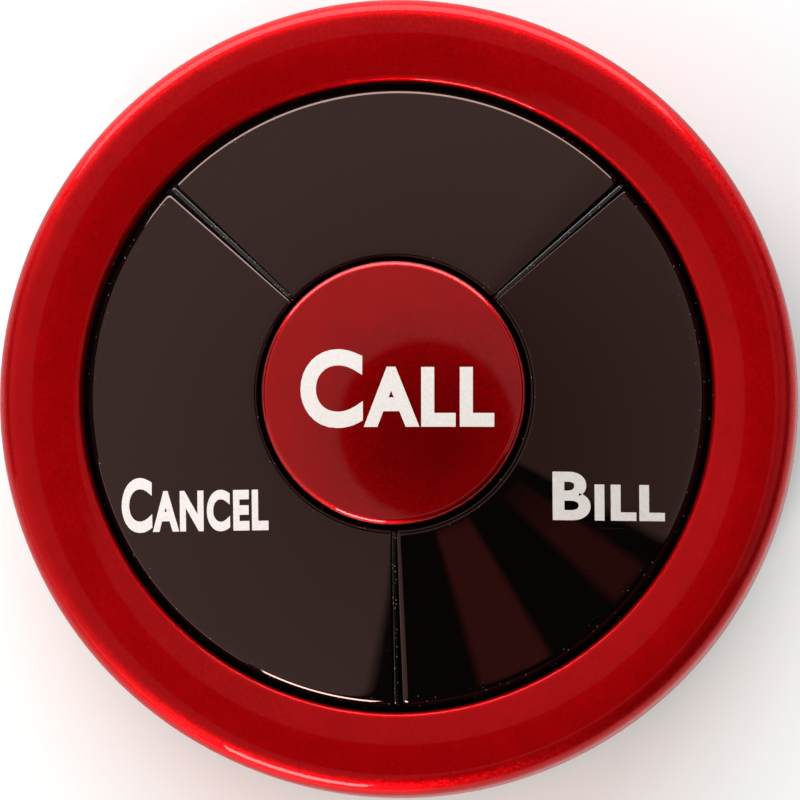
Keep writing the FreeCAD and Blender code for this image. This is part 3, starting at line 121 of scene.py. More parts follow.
class RingSizes(PropertyGroup):
    """Red ring housing."""

    radius: length("Radius", "Outside of the ring", outer_radius("top_housing"))
    crown: length("Crown", "Where the two slopes of the ring would meet", 11.95)
    width: length("Width", "Ring from its outside to its lip", 6.28)
    crown_inset: length("Crown inset", "Crown of the ring, out from the lip", 3.18)
    crown_rise: length("Crown rise", "Crown of the ring above the lip", 0.45)
    crown_round: length("Crown rounding", "Rounding over the crown", 13.0)
    shoulder_drop: length("Shoulder drop", "Shoulder of the ring below its crown", 0.24)
    shoulder_round: length("Shoulder rounding", "Rounding of the shoulder", 1.6)
    side_turn: length("Side turn", "Leaning part of the side, above the rim", 3.4)
    side_round: length("Side rounding", "Where the side turns upright", 6.0)
    side_draft: length("Side draft", "How much the side leans in down to the rim", 0.6)
    lip_round: length("Lip rounding", "Rounding of the lip", 0.55)
    lip_depth: length("Lip depth", "Lip that holds the keys down", 1.3)
    recess: length("Recess", "Room for the flanges under the lip", 1.57)
    ledge: length("Ledge", "Underside of the flange room", 9.0)
    wall: length("Wall", "Side wall of the housing", 1.8)
    rim: length("Rim", "Height of the housing's lower rim", low("top_housing"))


class CallKeySizes(PropertyGroup):
    """Round call key."""

    radius: length("Radius", "Call key", outer_radius("call_key"))
    top: length("Top", "Middle of the dome", high("call_key"))
    dome_rise: length("Dome rise", "Rise of the dome from its edge to its middle", 0.65)
    dome_round: length("Dome rounding", "Radius of the dome", 68.0)
    edge_round: length("Edge rounding", "Rounding of the key's edge", 0.55)
    foot: length("Foot", "Bottom of the key's wall", 9.45)
    wall: length("Wall", "Wall of the moulding", 1.2)
    stem: length("Stem", "Radius of the stem that presses the switch", 1.5)


class SectorSizes(PropertyGroup):
    """Black sectors round the call key."""

    inner: length("Inner radius", "Edge beside the call key", 10.16)
    outer: length("Outer radius", "Edge beside the ring", 23.24)
    inner_top: length("Inner height", "Top beside the call key", 15.7)
    outer_top: length("Outer height", "Top beside the ring", 11.35)
    swell: length("Swell", "Swell of the top half way up", 0.18)
    foot: length("Foot", "Bottom of the key walls", 9.45)
    wall: length("Wall", "Wall of the mouldings", 1.2)
    groove: length("Groove", "Room for a divider between two sectors", 0.56)
    inner_round: length("Inner rounding", "Rounding beside the call key", 0.5)
    outer_round: length("Outer rounding", "Rounding beside the ring", 0.5)
    side_round: length("Side rounding", "Rounding along the grooves", 0.45)
    flange: length("Flange", "Flange under the ring's lip", 1.65)
    flange_depth: length("Flange depth", "Thickness of the flange", 0.65)
    flange_trim: turn("Flange trim", "Flange shorter than its sector, at each end", 1.5)
    first: turn("First groove", "Groove between the blank sector and the bill key", 43)
    second: turn("Second groove", "Groove between the blank sector and the cancel key", 137)
    third: turn("Third groove", "Groove between the cancel key and the bill key", 270)


class PrintSizes(PropertyGroup):
    """Printed words."""

    thickness: length("Thickness", "Ink above the plastic", 0.012)
    call: StringProperty(name="Call", description="Word on the call key", default="CALL")
    call_width: length("Call width", "Word on the call key", 14.5)
    call_height: length("Call height", "First letter on the call key", 5.9)
    call_small: fraction("Call small capitals", "Later letters against the first", 0.754)
    call_place: spot("Call place", "Middle of the word's foot", 0.34, -2.34)
    cancel: StringProperty(name="Cancel", description="Word on the cancel key",
                           default="CANCEL")
    cancel_width: length("Cancel width", "Word on the cancel key", 11.25)
    cancel_height: length("Cancel height", "First letter on the cancel key", 4.1)
    cancel_small: fraction("Cancel small capitals", "Later letters against the first", 0.73)
    cancel_place: spot("Cancel place", "Middle of the word's foot", -15.05, -10.0)
    bill: StringProperty(name="Bill", description="Word on the bill key", default="BILL")
    bill_width: length("Bill width", "Word on the bill key", 8.3)
    bill_height: length("Bill height", "First letter on the bill key", 3.6)
    bill_small: fraction("Bill small capitals", "Later letters against the first", 0.72)
    bill_place: spot("Bill place", "Middle of the word's foot", 16.0, -9.3)


class Colours(PropertyGroup):
    """Colours of the finishes."""

    lacquer: colour("Lacquer", "Candy red lacquer where it looks brightest", "B8060D")
    lacquer_deep: colour("Deep lacquer", "Candy red lacquer where it lies thicker", "B0050B")
    gloss_black: colour("Gloss black", "Polished black plastic", "050303")
    dull_black: colour("Dull black", "Textured black plastic", "1C1B1B")
    silicone: colour("Silicone", "Anti-slip ring", "2E2D2E")
    ink: colour("Ink", "Pad-printed words", "D2D0CC")
    dust: colour("Dust", "Specks in the gaps", "9A9490")
    steel: colour("Steel", "Zinc-plated steel", "BDBCB8")
    nickel: colour("Nickel", "Nickel-plated steel", "C9C6BE")
    laminate: colour("Laminate", "Solder mask of the board", "14492B")
    nylon: colour("Nylon", "White nylon", "DEDBD0")
    copper: colour("Copper", "Enamelled copper wire", "B4562B")
    ceramic: colour("Ceramic", "Chip capacitors and resistors", "8C7A62")
    resin: colour("Resin", "Clear lamp resin", "E9E6DC")
    floor: colour("Floor", "Pale table top", "E8F1F1")


class StudioSettings(PropertyGroup):
    """Camera and floor."""

    azimuth: turn("Azimuth", "Direction of the camera round the object", 43)
    elevation: turn("Elevation", "Camera above the horizon", 85.3)
    distance: length("Distance", "Camera from the object", 1000)
    view_width: length("View width", "Width of the picture at the object", 60.34)
    target_height: length("Target height", "Height that the camera looks at", 7.0)
    floor_reach: length("Floor reach", "Radius of the floor", 3000)
    steps: IntProperty(name="Steps", description="Steps of a full lathe turn", default=256)


class Transmitter(PropertyGroup):
    """Everything that the sidebar panel shows."""

    ring: PointerProperty(type=RingSizes)
    call_key: PointerProperty(type=CallKeySizes)
    sectors: PointerProperty(type=SectorSizes)
    prints: PointerProperty(type=PrintSizes)
    colours: PointerProperty(type=Colours)
    studio: PointerProperty(type=StudioSettings)


def settings():
    """The property groups of this scene."""
    return bpy.context.scene.transmitter


# ---------------------------------------------------------------- materials

def add(tree, kind, inputs=None, **values):
    """Add a node, set its values, then link or fill its inputs."""
    node = tree.nodes.new(kind)
    for name, value in values.items():
        setattr(node, name, value)
    for socket, source in (inputs or {}).items():
        if isinstance(source, bpy.types.NodeSocket):
            tree.links.new(source, node.inputs[socket])
        else:
            node.inputs[socket].default_value = source
    return node


def new_material(name):
    """An empty material, its tree and its Object coordinates."""
    material = bpy.data.materials.new(name)
    material.use_nodes = True
    tree = material.node_tree
    tree.nodes.clear()
    return material, tree, add(tree, "ShaderNodeTexCoord").outputs["Object"]


def surface(tree, inputs):
    """Give a material its shader and its output."""
    shader = add(tree, "ShaderNodeBsdfPrincipled", inputs)
    add(tree, "ShaderNodeOutputMaterial", {"Surface": shader.outputs[0]})


def per_mm(size):
    """Scale of a texture whose features are that many millimetres apart."""
    return 1 / (size * MM)


def noise(tree, place, size, detail=2.0, roughness=0.5):
    """Height of a noise with features of that size."""
    return add(tree, "ShaderNodeTexNoise", {"Vector": place, "Scale": per_mm(size),
               "Detail": detail, "Roughness": roughness}).outputs[0]


def between(tree, factor, low_end, high_end, to_low=0.0, to_high=1.0):
    """The part of a factor between two values, spread over a new range."""
    return add(tree, "ShaderNodeMapRange", {0: factor, 1: low_end, 2: high_end,
               3: to_low, 4: to_high}, clamp=True).outputs[0]


def times(tree, one, other):
    """Product of two factors."""
    return add(tree, "ShaderNodeMath", {0: one, 1: other}, operation="MULTIPLY").outputs[0]


def blend_colours(tree, factor, first, second):
    """Mix of two colours."""
    ends = [end if isinstance(end, bpy.types.NodeSocket) else (*end, 1)
            for end in (first, second)]
    return add(tree, "ShaderNodeMix", {0: factor, 6: ends[0], 7: ends[1]},
               data_type="RGBA").outputs[2]


def relief(tree, height, depth, normal=None):
    """Bump of that many millimetres."""
    inputs = {"Strength": 1.0, "Distance": depth * MM, "Height": height}
    if normal is not None:
        inputs["Normal"] = normal
    return add(tree, "ShaderNodeBump", inputs).outputs[0]


# Sizes of the surfaces' patterns, in millimetres.
FLAKE = 0.14                        # 0.03 in the can, drawn as coarse as it needs to show
LACQUER_RUNS = 2.5                  # the lacquer runs a little thicker and thinner
ORANGE_PEEL = 1.8                   # ripple that a spray gun leaves in the clear coat
ORANGE_PEEL_DEPTH = 0.0016
HAIRLINE_LENGTH = 3.0
HAIRLINE_WIDTH = 0.07               # finer on the real plastic, drawn so that it shows
HAIRLINE_DEPTH = 0.0004
WIPED_PATCH = 9.0                   # hairlines come in patches, where a cloth has rubbed
DUST_BY_RING = (0.9, 0.1)           # dust lies this far in from the gap at the ring
DUST_BY_KEY = (0.7, 0.1)            # and from the gap at the call key

LACQUER_IOR = 1.5
ABS_IOR = 1.55
WARM_GLOSS = (1.0, 0.67, 0.58, 1.0)


def candy_lacquer(name, clear_coat, roughness, flake_lean):
    """Candy red lacquer, sprayed over fine metal flake and cleared.

    A deep saturated red that glows near the lights and goes dark away from them, because the
    flake mirrors what is round it, with a second, colourless reflection in the clear coat.
    """
    colours = settings().colours
    material, tree, place = new_material(name)
    flakes = add(tree, "ShaderNodeTexVoronoi", {"Vector": place, "Scale": per_mm(FLAKE)})
    lean = add(tree, "ShaderNodeVectorMath", {0: flakes.outputs["Color"],
               1: (0.5, 0.5, 0.5)}, operation="SUBTRACT")
    lean = add(tree, "ShaderNodeVectorMath", {0: lean.outputs[0], "Scale": flake_lean},
               operation="SCALE")
    upright = add(tree, "ShaderNodeNewGeometry").outputs["Normal"]
    lean = add(tree, "ShaderNodeVectorMath", {0: upright, 1: lean.outputs[0]}, operation="ADD")
    lean = add(tree, "ShaderNodeVectorMath", {0: lean.outputs[0]}, operation="NORMALIZE")
    cloud = between(tree, noise(tree, place, LACQUER_RUNS, 3.0, 0.55), 0.3, 0.7)
    red = blend_colours(tree, cloud, colours.lacquer_deep, colours.lacquer)
    peel = relief(tree, noise(tree, place, ORANGE_PEEL, 1.0), ORANGE_PEEL_DEPTH)
    surface(tree, {"Base Color": red, "Metallic": 1.0, "Roughness": roughness,
                   "Normal": lean.outputs[0], "Coat Weight": clear_coat, "Coat Roughness": 0.03,
                   "Coat IOR": LACQUER_IOR, "Coat Normal": peel})
    return material


def ring_lacquer(name):
    """Lacquer of the ring: coarser flake under a thin clear coat, so it shines softly."""
    return candy_lacquer(name, clear_coat=0.22, roughness=0.46, flake_lean=0.13)


def key_lacquer(name):
    """Lacquer of the call key: finer flake, cleared more heavily for the fingers."""
    return candy_lacquer(name, clear_coat=0.55, roughness=0.28, flake_lean=0.05)


def specks(tree, place, spacing, reach, chance):
    """Factor of small round specks, one in some of the cells of that spacing."""
    cells = add(tree, "ShaderNodeTexVoronoi", {"Vector": place, "Scale": per_mm(spacing)})
    dot = between(tree, cells.outputs["Distance"], reach / spacing, 0.6 * reach / spacing)
    chosen = add(tree, "ShaderNodeSeparateColor", {0: cells.outputs["Color"]})
    chosen = add(tree, "ShaderNodeMath", {0: chosen.outputs[0], 1: chance},
                 operation="LESS_THAN")
    return times(tree, dot, chosen.outputs[0])


def distance_from_axis(tree, place):
    """Distance of a point from the object's upright axis, in metres."""
    flat = add(tree, "ShaderNodeVectorMath", {0: place, 1: (1, 1, 0)}, operation="MULTIPLY")
    return add(tree, "ShaderNodeVectorMath", {0: flat.outputs[0]},
               operation="LENGTH").outputs["Value"]


def polished_abs(name):
    """High-gloss black ABS from a polished mould.

    Almost no colour of its own: it shows the room as a dark mirror, with hairline scratches
    from wiping and a little dust at the edges of the gaps.
    """
    colours = settings().colours
    sectors = settings().sectors
    material, tree, place = new_material(name)
    stretched = add(tree, "ShaderNodeMapping", {
        "Vector": place, "Rotation": (0, 0, 0.05),
        "Scale": (per_mm(HAIRLINE_LENGTH), per_mm(HAIRLINE_WIDTH), per_mm(HAIRLINE_LENGTH))})
    lines = add(tree, "ShaderNodeTexNoise", {"Vector": stretched.outputs[0], "Scale": 1.0,
                "Detail": 1.0}).outputs[0]
    worn = between(tree, noise(tree, place, WIPED_PATCH, 1.0), 0.5, 0.68)
    scratch = times(tree, between(tree, lines, 0.62, 0.72), worn)
    rough = between(tree, scratch, 0.0, 1.0, to_low=0.035, to_high=0.16)
    radius = distance_from_axis(tree, place)
    by_ring = between(tree, radius, *(sectors.outer - inset * MM for inset in DUST_BY_RING))
    by_key = between(tree, radius, *(sectors.inner + inset * MM for inset in DUST_BY_KEY))
    edge = add(tree, "ShaderNodeMath", {0: by_ring, 1: by_key}, operation="MAXIMUM").outputs[0]
    dust = times(tree, specks(tree, place, spacing=0.32, reach=0.045, chance=0.3), edge)
    shade = blend_colours(tree, dust, colours.gloss_black, colours.dust)
    swell = relief(tree, noise(tree, place, 6.0, 1.0), 0.003)
    surface(tree, {"Base Color": shade, "Roughness": rough, "IOR": ABS_IOR,
                   "Specular Tint": WARM_GLOSS,
                   "Normal": relief(tree, scratch, HAIRLINE_DEPTH, swell)})
    return material


def dusty_abs(name):
    """Glossy black ABS of the chassis and its dividers, where fingers never wipe.

    Dust stays on it as fine grey specks, and its narrow edges catch the light.
    """
    colours = settings().colours
    material, tree, place = new_material(name)
    dust = times(tree, specks(tree, place, spacing=0.22, reach=0.05, chance=0.6), 0.5)
    shade = blend_colours(tree, dust, colours.gloss_black, colours.dust)
    rough = between(tree, dust, 0.0, 0.5, to_low=0.09, to_high=0.4)
    surface(tree, {"Base Color": shade, "Roughness": rough, "IOR": ABS_IOR,
                   "Normal": relief(tree, noise(tree, place, 0.4, 1.0), 0.002)})
    return material


def textured_plastic(name, shade, roughness, grain):
    """Plastic from a spark-eroded mould: even, soft sheen from a fine pebble grain."""
    material, tree, place = new_material(name)
    pebbles = noise(tree, place, grain, 3.0, 0.6)
    handled = between(tree, noise(tree, place, 7.0), 0.3, 0.7, roughness - 0.06,
                      roughness + 0.06)
    lighter = [min(1.0, part * 1.35 + 0.004) for part in shade]
    tint = blend_colours(tree, between(tree, pebbles, 0.35, 0.75), shade, lighter)
    surface(tree, {"Base Color": tint, "Roughness": handled,
                   "Normal": relief(tree, pebbles, 0.012)})
    return material


def dull_abs(name):
    """Black ABS with a fine eroded grain, as bases and switch bodies have."""
    return textured_plastic(name, settings().colours.dull_black, roughness=0.52, grain=0.22)


def silicone_rubber(name):
    """Moulded silicone: matt, slightly grey where lint and dust cling to it."""
    colours = settings().colours
    material, tree, place = new_material(name)
    lint = times(tree, specks(tree, place, spacing=0.6, reach=0.06, chance=0.25), 0.6)
    shade = blend_colours(tree, lint, colours.silicone, colours.dust)
    surface(tree, {"Base Color": shade, "Roughness": 0.62,
                   "Normal": relief(tree, noise(tree, place, 0.3), 0.006)})
    return material


def plated_metal(name, shade, roughness, grain):
    """Plated sheet or wire metal: fine drawing lines, soft bright reflections."""
    material, tree, place = new_material(name)
    stretched = add(tree, "ShaderNodeMapping", {"Vector": place,
                    "Scale": (per_mm(grain), per_mm(grain * 12), per_mm(grain * 12))})
    lines = add(tree, "ShaderNodeTexNoise", {"Vector": stretched.outputs[0], "Scale": 1.0,
                "Detail": 2.0}).outputs[0]
    tone = blend_colours(tree, between(tree, lines, 0.3, 0.7), [part * 0.86 for part in shade],
                         shade)
    surface(tree, {"Base Color": tone, "Metallic": 1.0,
                   "Roughness": between(tree, lines, 0.2, 0.8, roughness, roughness + 0.14),
                   "Normal": relief(tree, lines, 0.001)})
    return material


def zinc_plate(name):
    """Zinc-plated screw steel: grey, half bright."""
    return plated_metal(name, settings().colours.steel, roughness=0.26, grain=0.05)


def spring_steel(name):
    """Cold-rolled spring steel: bright with straight rolling lines."""
    return plated_metal(name, settings().colours.steel, roughness=0.18, grain=0.04)


def nickel_plate(name):
    """Nickel plate on pressed steel: warmer and smoother than zinc."""
    return plated_metal(name, settings().colours.nickel, roughness=0.14, grain=0.06)


def copper_wire(name):
    """Enamelled copper wire: brown-red metal under a clear varnish."""
    return plated_metal(name, settings().colours.copper, roughness=0.2, grain=0.05)


def board_laminate(name):
    """Glass-epoxy laminate under green solder mask: smooth, with the weave just showing."""
    colours = settings().colours
    material, tree, place = new_material(name)
    weave = add(tree, "ShaderNodeTexChecker", {"Vector": place, "Scale": per_mm(0.5),
                "Color1": (0, 0, 0, 1), "Color2": (1, 1, 1, 1)}).outputs[1]
    shade = blend_colours(tree, weave, colours.laminate,
                          [part * 1.12 for part in colours.laminate])
    surface(tree, {"Base Color": shade, "Roughness": 0.3,
                   "Normal": relief(tree, weave, 0.002)})
    return material


def white_nylon(name):
    """Natural nylon: milky white with a soft sheen."""
    return textured_plastic(name, settings().colours.nylon, roughness=0.42, grain=0.4)


def fired_ceramic(name):
    """Fired chip ceramic: dry, fine-grained tan."""
    return textured_plastic(name, settings().colours.ceramic, roughness=0.6, grain=0.12)


def lamp_resin(name):
    """Water-clear epoxy of a lamp: glossy and slightly warm."""
    material, tree, place = new_material(name)
    cloud = noise(tree, place, 0.5)
    shade = settings().colours.resin
    surface(tree, {"Base Color": blend_colours(tree, cloud, shade, [0.9 * c for c in shade]),
                   "Roughness": 0.08, "Transmission Weight": 0.6, "IOR": 1.5})
    return material


def printing_ink(name):
    """Two-part pad-printing ink: opaque off-white, matt, with tiny pinholes."""
    colours = settings().colours
    material, tree, place = new_material(name)
    cover = between(tree, noise(tree, place, 0.25, 3.0), 0.25, 0.6)
    shade = blend_colours(tree, cover, [0.9 * part for part in colours.ink], colours.ink)
    surface(tree, {"Base Color": shade, "Roughness": 0.38,
                   "Normal": relief(tree, noise(tree, place, 0.12), 0.002)})
    return material


FINISHES = {
    "red_lacquer": ring_lacquer,
    "red_key_lacquer": key_lacquer,
    "black_gloss": polished_abs,
    "black_moulding": dull_abs,
    "silicone": silicone_rubber,
    "screw_steel": zinc_plate,
    "spring_steel": spring_steel,
    "nickel_steel": nickel_plate,
    "board_laminate": board_laminate,
    "white_nylon": white_nylon,
    "copper_wire": copper_wire,
    "chip_ceramic": fired_ceramic,
    "lamp_resin": lamp_resin,
}


def finish(make):
    """The material that a finish function makes, made once."""
    return bpy.data.materials.get(make.__name__) or make(make.__name__)


# ---------------------------------------------------------------- modelling tools

ARC_STEP = math.radians(7)          # longest turn and longest run of an outline's edge
RUN_STEP = 0.5 * MM
CREASE = math.radians(32)           # edges that turn more than this stay sharp
MERGE = 0.0001 * MM                 # corners closer than this are one
MERGE_CAD = 0.0005 * MM             # and so they are in a CAD node's loose triangles


def draw_outline(mesh, corners, closed=True):
    """Chain through (radius, height, rounding) corners, in the XZ plane.

    Roundings are vertices spun about the middle of their arc, and long straight runs and
    wide arcs are cut into short ones so that the shading stays true.
    """
    points = [Vector((radius, 0, height)) for radius, height, rounding in corners]
    ends = []
    for number, (radius, height, rounding) in enumerate(corners):
        point = points[number]
        if not rounding or (not closed and number in (0, len(corners) - 1)):
            only = mesh.verts.new(point)
            ends.append((only, only))
            continue
        arrive = (point - points[number - 1]).normalized()
        leave = (points[(number + 1) % len(points)] - point).normalized()
        bend = arrive.angle(leave)
        axis = arrive.cross(leave).normalized()
        start = mesh.verts.new(point - arrive * rounding * math.tan(bend / 2))
        steps = max(3, math.ceil(bend / ARC_STEP), math.ceil(bend * rounding / RUN_STEP))
        spun = bmesh.ops.spin(mesh, geom=[start], cent=start.co + axis.cross(arrive) * rounding,
                              axis=axis, angle=bend, steps=steps)
        end = next(item for item in spun["geom_last"] if isinstance(item, bmesh.types.BMVert))
        ends.append((start, end))
    pairs = list(zip(ends, ends[1:] + ends[:1]))
    for (_, leaving), (arriving, _) in pairs if closed else pairs[:-1]:
        mesh.edges.new((leaving, arriving))
    while runs := [edge for edge in mesh.edges if edge.calc_length() > RUN_STEP]:
        bmesh.ops.subdivide_edges(mesh, edges=runs, cuts=1)


def lathe(mesh):
    """Spin everything in the mesh round the upright axis into a closed body."""
    bmesh.ops.spin(mesh, geom=mesh.verts[:] + mesh.edges[:], cent=(0, 0, 0), axis=AXIS,
                   dvec=(0, 0, 0), angle=FULL_TURN, steps=settings().studio.steps,
                   use_merge=True, use_normal_flip=False, use_duplicate=False)
    bmesh.ops.remove_doubles(mesh, verts=mesh.verts[:], dist=MERGE)
    bmesh.ops.recalc_face_normals(mesh, faces=mesh.faces[:])


def publish(mesh, name, body, material, replaces=()):
    """Turn a bmesh into a shown piece that rides on its body."""
    for face in mesh.faces:
        face.smooth = True
    for edge in mesh.edges:
        edge.smooth = len(edge.link_faces) == 2 and edge.calc_face_angle() < CREASE
    data = bpy.data.meshes.new(name)
    mesh.to_mesh(data)
    mesh.free()
    data.materials.append(material)
    piece = bpy.data.objects.new(name, data)
    bpy.context.scene.collection.objects.link(piece)
    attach(piece, body)
    if replaces:
        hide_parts(*replaces)
    return piece


def merged_copy(node):
    """A CAD node's own triangles in a new bmesh, joined at their corners."""
    mesh = bmesh.new()
    mesh.from_mesh(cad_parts[node].data)
    bmesh.ops.remove_doubles(mesh, verts=mesh.verts[:], dist=MERGE_CAD)
    return mesh


# ---------------------------------------------------------------- pieces

class TRANSMITTER_OT_ring(Operator):
    """Turn the red ring housing from its section"""

    bl_idname = "transmitter.ring"
    bl_label = "Ring housing"

    def execute(self, context):
        ring = settings().ring
        lip = ring.radius - ring.width
        lip_top = ring.crown - ring.crown_rise
        mesh = bmesh.new()
        draw_outline(mesh, [
            (ring.radius - ring.side_draft, ring.rim, 0),
            (ring.radius, ring.rim + ring.side_turn, ring.side_round),
            (ring.radius, ring.crown - ring.shoulder_drop, ring.shoulder_round),
            (lip + ring.crown_inset, ring.crown, ring.crown_round),
            (lip, lip_top, ring.lip_round),
            (lip, lip_top - ring.lip_depth, 0),
            (lip + ring.recess, lip_top - ring.lip_depth, 0),
            (lip + ring.recess, ring.ledge, 0),
            (ring.radius - ring.wall, ring.ledge, 0),
            (ring.radius - ring.wall, ring.rim, 0)])
        lathe(mesh)
        publish(mesh, "ring_housing", "case", finish(ring_lacquer),
                ["top_housing"])
        return {"FINISHED"}


class TRANSMITTER_OT_call_key(Operator):
    """Turn the domed call key, hollow with a stem"""

    bl_idname = "transmitter.call_key"
    bl_label = "Call key"

    def execute(self, context):
        key = settings().call_key
        edge_top = key.top - key.dome_rise
        ceiling = key.top - key.wall
        stem_foot = high("call_switch_plunger") * MM
        mesh = bmesh.new()
        draw_outline(mesh, [
            (0, key.top, 0),
            (key.radius / 2, key.top, key.dome_round),
            (key.radius, edge_top, key.edge_round),
            (key.radius, key.foot, 0),
            (key.radius - key.wall, key.foot, 0),
            (key.radius - key.wall, edge_top - key.wall, 0),
            (key.stem, ceiling, 0),
            (key.stem, stem_foot, 0),
            (0, stem_foot, 0)], closed=False)
        lathe(mesh)
        publish(mesh, "call_button", "call_key", finish(key_lacquer),
                ["call_key"])
        return {"FINISHED"}


CAGE_STEP = math.radians(3)
FLANGE_STEPS = 40
STEM_SIDES = 32
SMOOTH_LEVELS = 3
RIM_CHAMFER = 0.15                  # of the wall: how much higher its inner foot stands
# A loop of the cage beside an edge is that many times as wide as the edge's rounding.
SIDE_LOOP = 1.2
KEY_LOOP = 1.5
RING_LOOP = 1.2


def sector_top(sectors, radius):
    """Height of the sectors' top at a distance from the axis."""
    share = (radius - sectors.inner) / (sectors.outer - sectors.inner)
    chord = sectors.inner_top + (sectors.outer_top - sectors.inner_top) * share
    return chord + sectors.swell * 4 * share * (1 - share)


def cup(mesh, sectors, inner, outer, first, last, drop, edges, steps):
    """Open-bottomed sector skin, as a cage for a subdivision surface.

    The cage has a loop of faces beside each edge, and their widths set the roundings.  The
    outer and the inner skin have as many steps, so that their rims join corner to corner.
    """
    side, beside_key, beside_ring = edges
    middle = (inner + outer) / 2
    stations = [inner, inner + beside_key, inner + 2 * beside_key, middle,
                outer - 2 * beside_ring, outer - beside_ring, outer]
    inner_top = sector_top(sectors, inner) - drop
    outer_top = sector_top(sectors, outer) - drop
    foot = sectors.foot + drop * RIM_CHAMFER
    chain = [mesh.verts.new((inner, 0, foot)),
             mesh.verts.new((inner, 0, inner_top - beside_key))]
    chain += [mesh.verts.new((radius, 0, sector_top(sectors, radius) - drop))
              for radius in stations]
    chain += [mesh.verts.new((outer, 0, (outer_top + foot) / 2)),
              mesh.verts.new((outer, 0, foot))]
    bmesh.ops.rotate(mesh, verts=chain, cent=(0, 0, 0), matrix=Matrix.Rotation(first, 3, AXIS))
    near_cap = mesh.faces.new(chain)
    geometry = chain + [mesh.edges.get(pair) for pair in zip(chain, chain[1:])]
    beside_side = side / middle
    span = last - first - 2 * beside_side
    for angle, count in ((beside_side, 1), (span, steps), (beside_side, 1)):
        spun = bmesh.ops.spin(mesh, geom=geometry, cent=(0, 0, 0), axis=AXIS,
                              dvec=(0, 0, 0), angle=angle, steps=count)
        geometry = spun["geom_last"]
    ends = {item for item in geometry if isinstance(item, bmesh.types.BMVert)}
    ends = sorted(ends, key=lambda vertex: chain_place(chain, vertex, last - first))
    far_cap = mesh.faces.new(ends)
    bmesh.ops.inset_region(mesh, faces=[near_cap, far_cap], thickness=side,
                           use_boundary=True, use_even_offset=True)


def chain_place(chain, vertex, angle):
    """Which vertex of the first chain this one was spun from."""
    back = Matrix.Rotation(-angle, 3, AXIS) @ vertex.co
    return min(range(len(chain)), key=lambda number: (chain[number].co - back).length)


def flange_bar(mesh, sectors, first, last):
    """Flange that the ring's lip holds down, along the outer wall."""
    top = sectors.foot + sectors.flange_depth
    root = sectors.outer - sectors.wall / 2
    rim = sectors.outer + sectors.flange
    start = first + sectors.flange_trim
    corners = [mesh.verts.new((radius, 0, height)) for radius, height in
               ((root, sectors.foot), (rim, sectors.foot), (rim, top), (root, top))]
    bmesh.ops.rotate(mesh, verts=corners, cent=(0, 0, 0),
                     matrix=Matrix.Rotation(start, 3, AXIS))
    others = set(mesh.edges)
    bar = mesh.faces.new(corners)
    bmesh.ops.spin(mesh, geom=[bar], cent=(0, 0, 0), axis=AXIS, dvec=(0, 0, 0),
                   angle=last - first - 2 * sectors.flange_trim, steps=FLANGE_STEPS)
    crease = mesh.edges.layers.float["crease_edge"]
    for edge in mesh.edges:
        if edge not in others:
            edge[crease] = 1.0


def switch_stem(mesh, sectors, plunger):
    """Stem under a key, from its wall down to the plunger that it presses."""
    low_corner, high_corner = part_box(plunger)
    place = (low_corner + high_corner) / 2
    press = high_corner.z
    ceiling = sector_top(sectors, place.xy.length) - sectors.wall / 2
    post = Matrix.Translation((place.x, place.y, (press + ceiling) / 2))
    radius = settings().call_key.stem
    bmesh.ops.create_cone(mesh, cap_ends=True, segments=STEM_SIDES, radius1=radius,
                          radius2=radius, depth=ceiling - press, matrix=post)


def sector_piece(name, node, body, first, last, plunger=None):
    """One black sector: smooth hollow moulding with a flange, and a stem if it is a key."""
    sectors = settings().sectors
    middle = (sectors.inner + sectors.outer) / 2
    gap = sectors.groove / 2 / middle
    wall = sectors.wall / middle
    steps = round((last - first) / CAGE_STEP)
    outside = (sectors.side_round * SIDE_LOOP, sectors.inner_round * KEY_LOOP,
               sectors.outer_round * RING_LOOP)
    mesh = bmesh.new()
    mesh.edges.layers.float.new("crease_edge")
    cup(mesh, sectors, sectors.inner, sectors.outer, first + gap, last - gap, 0.0, outside, steps)
    cup(mesh, sectors, sectors.inner + sectors.wall, sectors.outer - sectors.wall,
        first + gap + wall, last - gap - wall, sectors.wall, [sectors.side_round] * 3, steps)
    rims = [edge for edge in mesh.edges if edge.is_boundary]
    # The bridge tells two loops apart by distances that sizes in metres are too small for.
    bmesh.ops.scale(mesh, verts=mesh.verts[:], vec=Vector((1, 1, 1)) / MM)
    bmesh.ops.bridge_loops(mesh, edges=rims)
    bmesh.ops.scale(mesh, verts=mesh.verts[:], vec=Vector((1, 1, 1)) * MM)
    flange_bar(mesh, sectors, first, last)
    bmesh.ops.recalc_face_normals(mesh, faces=mesh.faces[:])
    if plunger:
        switch_stem(mesh, sectors, plunger)
    piece = publish(mesh, name, body, finish(polished_abs), [node])
    round_off = piece.modifiers.new("Subdivision", "SUBSURF")
    round_off.levels = round_off.render_levels = SMOOTH_LEVELS


class TRANSMITTER_OT_sectors(Operator):
    """Mould the two side keys and the blank sector"""

    bl_idname = "transmitter.sectors"
    bl_label = "Black sectors"

    def execute(self, context):
        sectors = settings().sectors
        sector_piece("blank_cover", "blank_sector", "case", sectors.first, sectors.second)
        sector_piece("cancel_button", "cancel_key", "cancel_key", sectors.second,
                     sectors.third, "cancel_switch_plunger")
        sector_piece("bill_button", "bill_key", "bill_key", sectors.third - FULL_TURN,
                     sectors.first, "bill_switch_plunger")
        return {"FINISHED"}


UNDERSIDE = [
    ("base_plate", "base_cover", "case", "black_moulding", dull_abs),
    ("anti_slip_foot", "anti_slip_ring", "case", "silicone", silicone_rubber),
    ("coin_door", "battery_door", "battery_door", "black_moulding", dull_abs),
    ("base_screws", "case_screws", "case", "screw_steel", zinc_plate),
]


